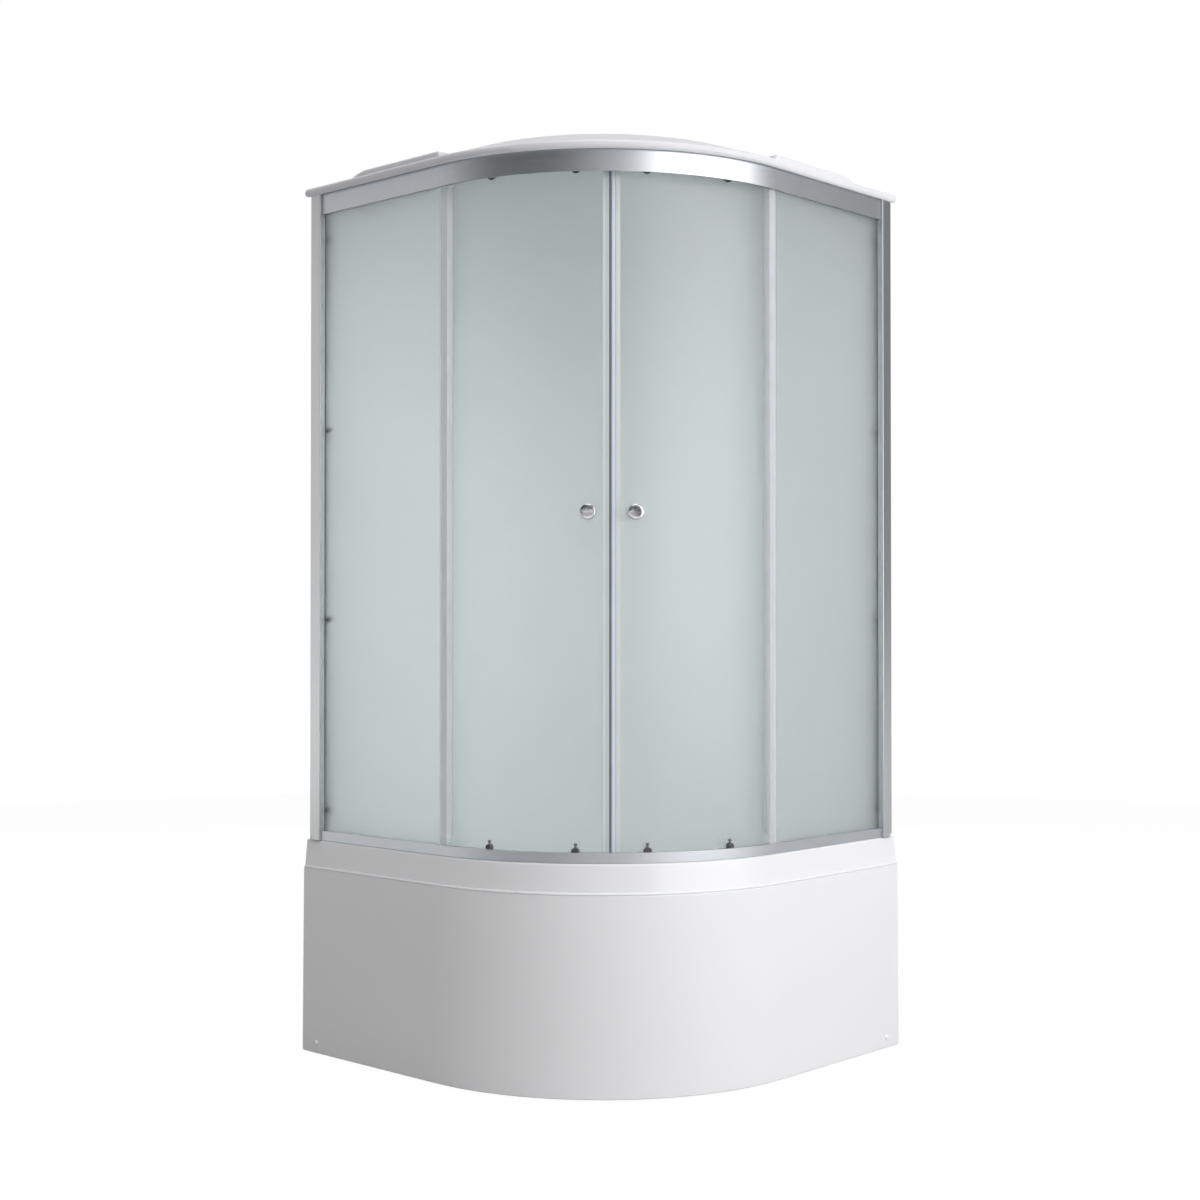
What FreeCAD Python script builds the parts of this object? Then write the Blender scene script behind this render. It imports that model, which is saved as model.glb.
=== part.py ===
import FreeCAD, Part

import math
import os

import Sketcher
from FreeCAD import Placement, Rotation, Vector

# Quadrant shower cabin on a deep tray, in millimetres, +Z up.
# The origin lies on the floor under the middle of the square footprint. The two walls of the room
# stand at -X and +Y, and the bend of the front faces +X -Y. Most pieces are drawn in the bend's own
# frame: its axis is the vertical line round which the doors run, "reach" is the distance from that
# axis, and "along" is the distance past the bend on a straight side. Right is +1 and left is -1.

SIZES = {
    # Plan
    "side": 1000,
    "bend_radius": 535,
    "front_angle": -45,
    "quarter_turn": 90,
    # Tray
    "tray_height": 500,
    "tray_sheet": 5,
    "rim_height": 62,
    "rim_top_inset": 13,
    "rim_low_inset": 6.5,
    "rim_corner": 6,
    "rim_edge": 6,
    "basin_inset": 95,
    "basin_back_inset": 70,
    "basin_corner": 90,
    "basin_draft": 40,
    "basin_floor": 150,
    "basin_floor_edge": 28,
    "upstand_height": 6,
    "upstand_width": 14,
    # Apron
    "floor_gap": 6,
    "apron_wall": 4,
    "apron_top_inset": 3,
    "apron_gap": 2,
    "apron_flange": 24,
    "apron_end_gap": 4,
    "apron_edge": 6,
    "apron_screw_inset": 52,
    "apron_screw_height": 31,
    "apron_corner": 6,
    "apron_foot_edge": 3,
    "apron_screw_radius": 2.5,
    "apron_screw_head": 4,
    "apron_screw_length": 12,
    "cap_radius": 6,
    "cap_height": 4.5,
    # Steel frame under the tray
    "tube_side": 25,
    "tube_wall": 2,
    "tube_low": 100,
    "frame_back_inset": 35,
    "frame_front_inset": 55,
    "bracket_sheet": 3,
    "bracket_width": 30,
    "bracket_foot": 18,
    "bracket_gap": 7,
    "bracket_boss_radius": 6,
    # Feet
    "foot_pad_radius": 30,
    "foot_pad_height": 8,
    "foot_neck_radius": 14,
    "foot_neck_height": 10,
    "rod_radius": 6,
    "rod_top": 136,
    "nut_radius": 11,
    "nut_height": 10,
    # Drain
    "drain_inset": 315,
    "drain_bore": 40,
    "drain_neck_wall": 4.5,
    "drain_flange_radius": 56,
    "drain_flange_height": 2.5,
    "drain_neck_low": 20,
    "gasket_height": 4,
    "trap_wall": 4,
    "trap_height": 100,
    "outlet_radius": 20,
    "outlet_wall": 2.5,
    "outlet_length": 140,
    "outlet_drop": 71,
    "collar_radius": 26,
    "collar_length": 8,
    "cover_radius": 50,
    "cover_height": 8,
    "cover_skirt": 8,
    "cover_wall": 3,
    # Rails
    "rail_inset": 14,
    "rail_wall": 2,
    "rail_depth": 45,
    "rail_lip": 8,
    "bottom_rail_height": 22,
    "top_rail_height": 50,
    "rail_bottom_lip": 6,
    "frame_height": 1515,
    "groove_width": 14,
    "ledge_height": 14,
    "groove_lip": 10,
    "guide_height": 20,
    "track_turn": 15.5,
    # Posts
    "post_inset": 8,
    "post_depth": 40,
    "post_width": 34,
    "post_back_gap": 19,
    "post_wall": 2,
    "post_groove_depth": 14,
    "fin_length": 24,
    "post_edge": 1.5,
    "notch_width": 8,
    "notch_height": 7,
    # Glass
    "glass": 5,
    "glass_inset": 23,
    "fixed_edge_along": -5,
    "fixed_glass_seat": 2.5,
    "fixed_glass_hold": 8,
    "glazing_gap": 2.5,
    "door_gap": 15.5,
    "door_lead_angle": 1.6,
    "door_tail_past": 12.9,
    "door_bottom_gap": 6,
    "door_top_hold": 27,
    # Seals
    "seal_wall": 1.5,
    "seal_hold": 5,
    "seal_meeting_gap": 0.4,
    "tail_seal_length": 25.3,
    "tail_fin": 7.7,
    "fixed_seal_length": 22,
    "fixed_seal_nose": 7,
    "fixed_fin": 7.5,
    "fin_wall": 2,
    "fin_end_gap": 2,
    # Rollers
    "front_roller_angle": 8.88,
    "rear_roller_angle": 31.5,
    "carriage_sheet": 2.3,
    "carriage_radius": 11,
    "carriage_rise": 13,
    "top_wheel_radius": 11,
    "top_wheel_width": 7,
    "top_axle_radius": 3,
    "axle_head": 1.5,
    "axle_head_height": 1.2,
    "carriage_screw_radius": 4,
    "carriage_cap_radius": 8,
    "carriage_cap_height": 6,
    "bottom_wheel_radius": 6,
    "bottom_wheel_width": 5.5,
    "bottom_axle_radius": 2,
    "wheel_lip": 1,
    "housing_half_width": 6,
    "housing_reach": 12.3,
    "housing_low": 21,
    "housing_straight": 4,
    "housing_roof": 6.5,
    "ear_width": 15,
    "ear_low": 9.5,
    "ear_high": 17.5,
    "ear_lap": 2,
    "ear_screw_along": 10,
    "ear_screw_height": 14,
    "ear_screw_radius": 2,
    "ear_cap_radius": 4.5,
    "pin_radius": 2.5,
    "pin_reach": 6,
    "pin_top": 39,
    "slider_half_width": 4,
    "slider_low": 7,
    "slider_bridge": 3,
    "stop_angle": 58.1,
    "stop_length": 12,
    "stop_height": 10,
    # Knobs
    "knob_angle": 5.83,
    "knob_height": 1243,
    "knob_radius": 17,
    "knob_neck_radius": 9,
    "knob_neck": 8,
    "knob_face": 22,
    "knob_chamfer": 1.8,
    "knob_bolt_radius": 4,
    "inner_knob_radius": 15,
    "inner_knob_face": 18,
    # Back walls and corner
    "panel": 4,
    "panel_back_gap": 17,
    "corner_core": 8,
    "corner_leg": 25,
    "corner_sheet": 2,
    "wall_screw_end": 62,
    "wall_screw_radius": 2,
    "wall_screw_head": 4.5,
    "wall_screw_head_height": 2.5,
    "wall_screw_length": 8,
    # Roof
    "roof_inset": 1,
    "roof_back_gap": 2,
    "roof_rim": 15,
    "roof_lip": 4,
    "roof_bead": 8,
    "roof_corner": 6,
    "roof_sheet": 4,
    "roof_seat": 23,
    "roof_shoulder": 3.1,
    "roof_rise": 48,
    "roof_slope_run": 140,
    "roof_crown_corner": 60,
    "bar_start": 18,
    "bar_end_inset": 126,
    "bar_inset": 24,
    "bar_width": 70,
    "bar_rise": 20,
    "bar_edge": 7,
    "bar_tail_run": 72,
    "bar_nose": 10,
    "roof_screw_reach": 6,
    "roof_screw_angle": 22,
    "roof_screw_inset": 215,
    "roof_screw_radius": 1.75,
    "roof_screw_head": 3.5,
    "roof_screw_head_height": 2.5,
    "roof_screw_length": 9,
    # Rail end blocks
    "block_length": 18,
    "block_screw_radius": 2,
    "block_screw_head": 4,
    "block_screw_head_height": 2.5,
    "block_screw_length": 16,
    # Clearances
    "running_fit": 0.05,
    "screw_fit": 0.2,
    "side_gap": 0.5,
    "seat_gap": 0.2,
    "slide_gap": 0.4,
    "roll_gap": 0.3,
    "overrun": 2,
    "match": 0.0001,
}


class Size:
    """A length or angle that keeps its formula in the sheet's names beside its value."""

    def __init__(self, value, text):
        self.value = float(value)
        self.text = text

    def _with(self, sign, other, value, swapped=False):
        other_text = other.text if isinstance(other, Size) else repr(other)
        first, second = (other_text, self.text) if swapped else (self.text, other_text)
        return Size(value, f"({first} {sign} {second})")

    def __add__(self, other):
        return self._with("+", other, self.value + number(other))

    def __radd__(self, other):
        return self._with("+", other, self.value + number(other), True)

    def __sub__(self, other):
        return self._with("-", other, self.value - number(other))

    def __rsub__(self, other):
        return self._with("-", other, number(other) - self.value, True)

    def __mul__(self, other):
        return self._with("*", other, self.value * number(other))

    def __rmul__(self, other):
        return self._with("*", other, self.value * number(other), True)

    def __truediv__(self, other):
        return self._with("/", other, self.value / number(other))

    def __neg__(self):
        return Size(-self.value, f"(-1 * {self.text})")


def number(size):
    """Plain value of a size or number."""
    return size.value if isinstance(size, Size) else float(size)


def formula(size):
    """Expression text of a size or number."""
    return size.text if isinstance(size, Size) else repr(size)


def cosine(angle):
    return Size(math.cos(math.radians(number(angle))), f"cos({formula(angle)})")


def sine(angle):
    return Size(math.sin(math.radians(number(angle))), f"sin({formula(angle)})")


def arcsine(rise, radius):
    """Angle round the bend whose chord rises that far past a straight side's start."""
    turn = math.degrees(math.asin(number(rise) / number(radius)))
    return Size(turn, f"asin({rise.text} / {radius.text}) / 1 deg")


def slope(run, rise):
    """Angle of a face that moves sideways by run over a rise."""
    return Size(math.degrees(math.atan(number(run) / number(rise))), f"atan({run.text} / {rise.text})")


class Sheet:
    """The driving dimensions, each readable as a Size by its name."""

    def __init__(self, document):
        cells = document.addObject("Spreadsheet::Sheet", "Sizes")
        for row, (name, value) in enumerate(SIZES.items(), start=1):
            cells.set(f"A{row}", name)
            cells.set(f"B{row}", str(value))
            cells.setAlias(f"B{row}", name)
            setattr(self, name, Size(value, f"Sizes.{name}"))


doc = FreeCAD.newDocument("ShowerCabin")
S = Sheet(doc)
doc.recompute()
nodes = []

HANDS = {"left": -1, "right": 1}
ROLLERS = {"front": S.front_roller_angle, "rear": S.rear_roller_angle}

# Lines that several pieces share
axis_x = S.side / 2 - S.bend_radius
axis_y = S.bend_radius - S.side / 2
wall_reach = S.side - S.bend_radius
rim_top = S.tray_height
rail_face = S.bend_radius - S.rail_inset
rail_inner = rail_face - S.rail_depth
groove_outer = rail_face - S.rail_wall
rib_outer = groove_outer - S.groove_width
rib_inner = rib_outer - S.rail_wall
frame_top = rim_top + S.frame_height
top_rail_low = frame_top - S.top_rail_height
bottom_rail_top = rim_top + S.bottom_rail_height
ledge_top = top_rail_low + S.ledge_height
guide_low = rim_top + S.guide_height - S.rail_wall
post_face = S.bend_radius - S.post_inset
post_back = post_face - S.post_depth
post_end = wall_reach - S.post_back_gap
post_start = post_end - S.post_width
fixed_outer = S.bend_radius - S.glass_inset
fixed_inner = fixed_outer - S.glass
door_outer = fixed_inner - S.door_gap
door_inner = door_outer - S.glass
carriage_back = door_outer + S.seat_gap
carriage_front = carriage_back + S.carriage_sheet
track_inner = carriage_front + S.side_gap
top_axle_height = ledge_top + S.top_wheel_radius + S.roll_gap
bottom_axle_height = guide_low - S.roll_gap - S.bottom_wheel_radius
carriage_screw_height = top_rail_low + S.carriage_rise
door_bottom = rim_top + S.door_bottom_gap
door_top = top_rail_low + S.door_top_hold
panel_face = wall_reach - S.panel_back_gap - S.panel
apron_end = wall_reach - S.apron_end_gap
drain_place = wall_reach - S.drain_inset
apron_screw_along = apron_end - S.apron_screw_inset
fin_low = rim_top + S.pin_top + S.fin_end_gap
fin_high = carriage_screw_height - S.carriage_radius - S.fin_end_gap
door_tail_angle = S.quarter_turn / 2 + arcsine(S.door_tail_past, door_outer)


def bind(item, name, size):
    """Tie a property to the sheet."""
    item.setExpression(name, formula(size))


def place(item, x, y, z, rotation):
    """Put a finished piece at a point, turned as given."""
    item.Placement = Placement(Vector(number(x), number(y), number(z)), rotation)
    for letter, size in zip("xyz", (x, y, z)):
        if isinstance(size, Size):
            bind(item, f"Placement.Base.{letter}", size)


def turned(angle):
    return Rotation(Vector(0, 0, 1), number(angle))


def facing_out(angle):
    """Turn that points a piece's own Z outwards from the bend's axis."""
    return turned(angle).multiply(Rotation(Vector(0, 1, 0), number(S.quarter_turn)))


def facing_along(angle, way):
    """Turn that points a piece's own Z along a straight side, away from the bend or back."""
    return turned(angle).multiply(Rotation(Vector(1, 0, 0), -way * number(S.quarter_turn)))


def new_body(name, angle=0):
    """Body drawn in the bend's frame, turned about the bend's axis."""
    body = doc.addObject("PartDesign::Body", name)
    body.Label = name
    place(body, axis_x, axis_y, 0, turned(angle))
    return body


def loose_body(name):
    """Body drawn about its own origin, to be placed or copied later."""
    body = doc.addObject("PartDesign::Body", name)
    body.Label = name
    return body


def keep(item):
    """Add a finished sub-part to the ones written out."""
    nodes.append(item)
    return item


def group(name, items):
    """One node made of several separate solids."""
    compound = doc.addObject("Part::Compound", name)
    compound.Label = name
    compound.Links = items
    return keep(compound)


def copies(master, places):
    """Linked copies of one master, each at a point with a turn."""
    links = []
    for index, (x, y, z, rotation) in enumerate(places):
        link = doc.addObject("App::Link", f"{master.Name}_{index}")
        link.LinkedObject = master
        place(link, x, y, z, rotation)
        links.append(link)
    return links


def polar(reach, angle):
    """Point at a reach and angle round the bend's axis, in the part's own frame."""
    return axis_x + reach * cosine(angle), axis_y + reach * sine(angle)


def beside(reach, along, hand):
    """Point on a straight side, given by its reach and distance past the bend."""
    if hand > 0:
        return axis_x + reach, axis_y + along
    return axis_x - along, axis_y - reach


def side_angle(hand):
    """Direction that a straight side faces."""
    return S.front_angle + hand * S.quarter_turn / 2


def mirrored(points, hand):
    """Outline of a handed piece: the along coordinate changes sign on the left."""
    if hand > 0:
        return points
    flipped = []
    for x, y, *bend in points:
        arc = [(bend[0][0], -bend[0][1])] if bend else []
        flipped.append((x, negative(y), *arc))
    return flipped


def negative(size):
    return -size if isinstance(size, Size) else 0


def across(points, hand):
    """Outline drawn on the right, or its image across the cabin's diagonal for the left."""
    if hand > 0:
        return points
    flipped = []
    for x, y, *bend in points:
        arc = [(bend[0][0], -bend[0][1])] if bend else []
        flipped.append((negative(y), negative(x), *arc))
    return flipped


def sketch_on(body, plane_role, offset, name):
    sketch = body.newObject("Sketcher::SketchObject", name)
    plane = next(item for item in body.Origin.OriginFeatures if item.Role == plane_role)
    sketch.AttachmentSupport = [(plane, "")]
    sketch.MapMode = "FlatFace"
    if isinstance(offset, Size):
        sketch.AttachmentOffset = Placement(Vector(0, 0, offset.value), Rotation())
        bind(sketch, "AttachmentOffset.Base.z", offset)
    return sketch


def pin_coordinate(sketch, kind, axis, geometry, size):
    """Hold one coordinate of a line's or arc's first point."""
    if not isinstance(size, Size):
        sketch.addConstraint(Sketcher.Constraint("PointOnObject", geometry, 1, axis))
        return
    index = sketch.addConstraint(Sketcher.Constraint(kind, -1, 1, geometry, 1, size.value))
    bind(sketch, f"Constraints[{index}]", size)


def arc_between(start, end, radius, turn):
    """Arc of under a half circle from start to end, turning left (+1) or right (-1)."""
    chord = end - start
    middle = (start + end) * 0.5
    rise = math.sqrt(max(radius * radius - chord.Length * chord.Length / 4, 0))
    leftward = Vector(-chord.y, chord.x, 0).normalize()
    centre = middle + leftward * (rise * turn)
    bulge = middle - centre
    if bulge.Length == 0:
        bulge = leftward * -turn
    crown = centre + bulge.normalize() * radius
    return Part.Arc(start, crown, end)


def draw(sketch, points):
    """Closed outline through points (x, y), or (x, y, (radius, turn)) for an arc that ends there."""
    first = sketch.GeometryCount
    count = len(points)
    vectors = [Vector(number(point[0]), number(point[1]), 0) for point in points]
    flipped = []
    for index in range(count):
        start, end = vectors[index], vectors[(index + 1) % count]
        bend = points[(index + 1) % count][2:]
        flipped.append(bool(bend) and bend[0][1] < 0)
        if bend:
            curve = arc_between(start, end, number(bend[0][0]), bend[0][1])
        else:
            curve = Part.LineSegment(start, end)
        sketch.addGeometry(curve, False)
    for index in range(count):
        here, following = first + index, first + (index + 1) % count
        leave = 1 if flipped[index] else 2
        enter = 2 if flipped[(index + 1) % count] else 1
        sketch.addConstraint(Sketcher.Constraint("Coincident", here, leave, following, enter))
    for index, point in enumerate(points):
        geometry = first + index
        if flipped[index]:
            hold_end(sketch, geometry, point)
        else:
            pin_coordinate(sketch, "DistanceX", -2, geometry, point[0])
            pin_coordinate(sketch, "DistanceY", -1, geometry, point[1])
        bend = points[(index + 1) % count][2:]
        if bend:
            radius = sketch.addConstraint(Sketcher.Constraint("Radius", geometry, number(bend[0][0])))
            bind(sketch, f"Constraints[{radius}]", bend[0][0])


def hold_end(sketch, geometry, point):
    """Hold the point where a right-turning arc begins, which is the arc's own second end."""
    for kind, axis, size in (("DistanceX", -2, point[0]), ("DistanceY", -1, point[1])):
        if isinstance(size, Size):
            index = sketch.addConstraint(Sketcher.Constraint(kind, -1, 1, geometry, 2, size.value))
            bind(sketch, f"Constraints[{index}]", size)
        else:
            sketch.addConstraint(Sketcher.Constraint("PointOnObject", geometry, 2, axis))


def draw_circle(sketch, x, y, radius):
    """Circle held by its centre and radius."""
    centre = Vector(number(x), number(y), 0)
    geometry = sketch.addGeometry(Part.Circle(centre, Vector(0, 0, 1), number(radius)), False)
    for kind, axis, size in (("DistanceX", -2, x), ("DistanceY", -1, y)):
        if isinstance(size, Size):
            index = sketch.addConstraint(Sketcher.Constraint(kind, -1, 1, geometry, 3, size.value))
            bind(sketch, f"Constraints[{index}]", size)
        else:
            sketch.addConstraint(Sketcher.Constraint("PointOnObject", geometry, 3, axis))
    held = sketch.addConstraint(Sketcher.Constraint("Radius", geometry, number(radius)))
    bind(sketch, f"Constraints[{held}]", radius)


def extrude(body, kind, name, shapes, low, length, plane="XY_Plane"):
    """Pad or pocket from one level up; shapes are outlines or circles (x, y, radius)."""
    sketch = sketch_on(body, plane, low, f"{name}_sketch")
    for shape in shapes:
        if isinstance(shape, tuple):
            draw_circle(sketch, *shape)
        else:
            draw(sketch, shape)
    feature = body.newObject(f"PartDesign::{kind}", name)
    feature.Profile = sketch
    bind(feature, "Length", length)
    feature.Reversed = kind == "Pocket"
    return feature


def pad(body, name, shapes, low, length, plane="XY_Plane"):
    return extrude(body, "Pad", name, shapes, low, length, plane)


def pocket(body, name, shapes, low, length, plane="XY_Plane"):
    return extrude(body, "Pocket", name, shapes, low, length, plane)


def revolve(body, name, points, angle=None):
    """Solid of revolution about the body's own Z, from an outline of (radius, height)."""
    sketch = sketch_on(body, "XZ_Plane", 0, f"{name}_sketch")
    draw(sketch, points)
    feature = body.newObject("PartDesign::Revolution", name)
    feature.Profile = sketch
    feature.ReferenceAxis = (sketch, ["V_Axis"])
    if angle is not None:
        bind(feature, "Angle", angle)
    return feature


def loft(body, kind, name, low_points, low, high_points, high):
    """Straight-sided loft between two outlines at two levels."""
    lower = sketch_on(body, "XY_Plane", low, f"{name}_low")
    draw(lower, low_points)
    upper = sketch_on(body, "XY_Plane", high, f"{name}_high")
    draw(upper, high_points)
    feature = body.newObject(f"PartDesign::{kind}", name)
    feature.Profile = lower
    feature.Sections = [upper]
    feature.Ruled = True
    return feature


def bore(body, name, x, y, z, rotation, radius, length):
    """Round hole along a piece's turned Z, starting at a point."""
    hole = body.newObject("PartDesign::SubtractiveCylinder", name)
    bind(hole, "Radius", radius)
    bind(hole, "Height", length)
    place(hole, x, y, z, rotation)
    return hole


def round_edges(body, name, radius, chosen):
    """Fillet on the edges of the body so far that the test picks out."""
    doc.recompute()
    base = body.Tip
    names = [f"Edge{index}" for index, edge in enumerate(base.Shape.Edges, start=1) if chosen(edge)]
    feature = body.newObject("PartDesign::Fillet", name)
    feature.Base = (base, names)
    bind(feature, "Radius", radius)
    return feature


def face_middle(face):
    """Point on a face, at the middle of its own coordinates."""
    u_low, u_high, v_low, v_high = face.ParameterRange
    return face.valueAt((u_low + u_high) / 2, (v_low + v_high) / 2)


def lean(body, name, angle, level, widening, chosen):
    """Draft on the upright faces that the test picks out, hinged at a level of the body so far."""
    doc.recompute()
    base = body.Tip
    upright_faces = []
    hinge = None
    for index, face in enumerate(base.Shape.Faces, start=1):
        flat = isinstance(face.Surface, Part.Plane) and abs(face.Surface.Axis.z) > 0.9
        if flat and abs(face.CenterOfMass.z - number(level)) < number(S.match):
            hinge = f"Face{index}"
        elif not flat and chosen(face_middle(face)):
            upright_faces.append(f"Face{index}")
    feature = body.newObject("PartDesign::Draft", name)
    feature.Base = (base, upright_faces)
    feature.NeutralPlane = (base, [hinge])
    bind(feature, "Angle", angle)
    feature.Reversed = widening
    return feature


def fuse(name, items):
    joined = doc.addObject("Part::MultiFuse", name)
    joined.Shapes = items
    return joined


def subtract(name, base, tool):
    result = doc.addObject("Part::Cut", name)
    result.Label = name
    result.Base = base
    result.Tool = tool
    return result


def level_edge(height):
    """Test for edges that lie flat at one height."""
    level = number(height)
    return lambda edge: abs(edge.BoundBox.ZMin - level) + abs(edge.BoundBox.ZMax - level) < number(S.match)


def plan(reach, back, corner):
    """Closed plan: bend, two straight sides and two wall sides, with rounded wall corners."""
    turn = (corner, 1)
    return [
        (0, -reach),
        (reach, 0, (reach, 1)),
        (reach, back - corner),
        (reach - corner, back, turn),
        (corner - back, back),
        (-back, back - corner, turn),
        (-back, corner - reach),
        (corner - back, -reach, turn),
    ]


def band(outer, inner, end):
    """Plan of a strip that follows one straight side, the bend and the other straight side."""
    return [
        (-end, -outer),
        (0, -outer),
        (outer, 0, (outer, 1)),
        (outer, end),
        (inner, end),
        (inner, 0),
        (0, -inner, (inner, -1)),
        (-end, -inner),
    ]


def block(x_low, x_high, y_low, y_high):
    return [(x_low, y_low), (x_high, y_low), (x_high, y_high), (x_low, y_high)]


def ring(inner, outer, low, high):
    return [(inner, low), (outer, low), (outer, high), (inner, high)]


# Tray: one formed sheet with a drafted rim, a deep basin and an upstand along the walls
def make_tray():
    sheet = S.tray_sheet
    shell = subtract("rim_shell", rim_form("rim_outside", 0, rim_top),
                     rim_form("rim_inside", sheet, rim_top - sheet))
    tub = basin_form("basin_outside", sheet, S.basin_floor - sheet, rim_top - sheet)
    well = basin_form("basin_inside", 0, S.basin_floor, rim_top + S.overrun)
    hole = new_body("drain_cut")
    radius = S.drain_bore + S.drain_neck_wall + S.screw_fit
    pad(hole, "drain_hole", [(negative(drain_place), drain_place, radius)],
        S.basin_floor - sheet - S.overrun, sheet + S.overrun * 2)
    sheet_form = fuse("tray_sheet", [shell, tub, make_upstand()])
    keep(subtract("tray_basin", sheet_form, fuse("tray_cuts", [well, hole])))


def rim_form(name, inset, high):
    """Block of the rim's outline, drafted on its three front faces; inset makes its hollow."""
    body = new_body(name)
    reach = S.bend_radius - S.rim_low_inset - inset
    back = wall_reach - inset
    low = rim_top - S.rim_height
    pad(body, f"{name}_block", [[(0, -reach), (reach, 0, (reach, 1)), (reach, back), (-back, back),
                                 (-back, -reach)]], low, high - low)
    front = number(back - S.overrun)
    lean(body, f"{name}_draft", slope(S.rim_top_inset - S.rim_low_inset, S.rim_height), low, False,
         lambda point: point.x > -front and point.y < front)
    level = number(low)
    top = number(high)

    def corner(edge):
        box = edge.BoundBox
        upright_edge = abs(box.ZMin - level) + abs(box.ZMax - top) < number(S.match)
        return upright_edge and (box.XMax < -front or box.YMin > front)

    round_edges(body, f"{name}_corners", S.rim_corner - inset, corner)
    if not isinstance(inset, Size):
        round_edges(body, f"{name}_edge", S.rim_edge, level_edge(high))
    return body


def basin_form(name, sheet, low, high):
    """Drafted tub with a rounded foot; sheet makes it that much larger all round."""
    body = new_body(name)
    reach = S.bend_radius - S.basin_inset - S.basin_draft + sheet
    back = wall_reach - S.basin_back_inset - S.basin_draft + sheet
    pad(body, f"{name}_block", [plan(reach, back, S.basin_corner + sheet)], low, high - low)
    lean(body, f"{name}_draft", slope(S.basin_draft, rim_top - S.basin_floor), low, True,
         lambda point: True)
    round_edges(body, f"{name}_foot", S.basin_floor_edge + sheet, level_edge(low))
    return body


def make_upstand():
    """Low ridge on the rim along both walls."""
    body = new_body("upstand")
    inner = wall_reach - S.upstand_width
    outer = wall_reach - S.rim_edge
    end = S.bend_radius - S.rim_top_inset - S.rim_corner
    pad(body, "ridge", [[(end, inner), (end, outer), (-outer, outer), (-outer, -end), (-inner, -end),
                         (-inner, inner)]], rim_top - S.tray_sheet, S.upstand_height + S.tray_sheet)
    return body


def make_apron():
    body = new_body("tray_apron")
    wall = S.apron_wall
    end = apron_end
    low = S.floor_gap
    high = rim_top - S.rim_height - S.apron_gap
    top_reach = S.bend_radius - S.apron_top_inset
    pad(body, "skirt", [band(S.bend_radius, S.bend_radius - wall, end)], low, high - low)
    middle = number(S.bend_radius - wall / 2)
    draft = slope(S.apron_top_inset, high - low)
    near_end = number(end - S.overrun)
    lean(body, "inner_draft", draft, low, True, lambda point: inner_face(point, middle, near_end))
    lean(body, "outer_draft", draft, low, False, lambda point: point_reach(point) > middle)
    pad(body, "top_flange", [band(top_reach - wall / 2, top_reach - S.apron_flange, end)],
        high - wall, wall)
    pad(body, "foot_flange", [band(S.bend_radius - wall / 2, S.bend_radius - S.apron_flange, end)],
        low, wall)
    front = number(top_reach - wall / 4)
    crown = level_edge(high)
    round_edges(body, "top_edge", S.apron_edge,
                lambda edge: crown(edge) and edge_reach(edge) > front)
    foot = level_edge(low)
    face = number(S.bend_radius - wall / 4)
    round_edges(body, "foot_edge", S.apron_foot_edge,
                lambda edge: foot(edge) and edge_reach(edge) > face)
    for name, hand in HANDS.items():
        round_corner(body, f"{name}_top_corner", hand, end, high, negative(S.apron_corner))
        round_corner(body, f"{name}_foot_corner", hand, end, low, S.apron_corner)
        x, y = across([(S.bend_radius - S.apron_flange, apron_screw_along)], hand)[0]
        bore(body, f"{name}_screw_hole", x, y, S.apron_screw_height, facing_out(side_angle(hand)),
             S.apron_screw_radius + S.screw_fit, S.apron_flange + S.overrun)
    return keep(body)


def round_corner(body, name, hand, end, level, radius):
    """Round one corner of a skirt's end, downwards from its top or upwards from its foot."""
    size = S.apron_corner
    inwards = end - size
    beyond = end + S.overrun
    over = level - radius * (S.overrun / size)
    turn = 1 if number(radius) > 0 else -1
    outline = [(inwards, level), (inwards, over), (beyond, over), (beyond, level + radius),
               (end, level + radius)]
    outline[0] = (inwards, level, (size, -turn))
    if hand > 0:
        pocket(body, name, [outline], S.bend_radius - S.apron_flange - S.overrun,
               S.apron_flange + S.overrun * 2, "YZ_Plane")
        return
    flipped = [(negative(x), z, *[(bend[0], -bend[1]) for bend in arc]) for x, z, *arc in outline]
    pocket(body, name, [flipped], S.bend_radius - S.apron_flange - S.overrun,
           S.apron_flange + S.overrun * 2, "XZ_Plane")


def point_reach(point):
    """Reach of a point from the bend's axis, or square to a straight side."""
    if point.x > 0 and point.y < 0:
        return math.hypot(point.x, point.y)
    return max(point.x, -point.y)


def inner_face(point, middle, end):
    """True for a face on the inside of a strip, but not for its two ends."""
    return point_reach(point) < middle and max(-point.x, point.y) < end


def edge_reach(edge):
    """Reach of an edge's middle."""
    return point_reach(edge.valueAt((edge.FirstParameter + edge.LastParameter) / 2))


def apron_reach_at(height):
    """Reach of the apron's outer face at a height."""
    skirt = rim_top - S.rim_height - S.apron_gap - S.floor_gap
    return S.bend_radius - S.apron_top_inset * (height - S.floor_gap) / skirt


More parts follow.
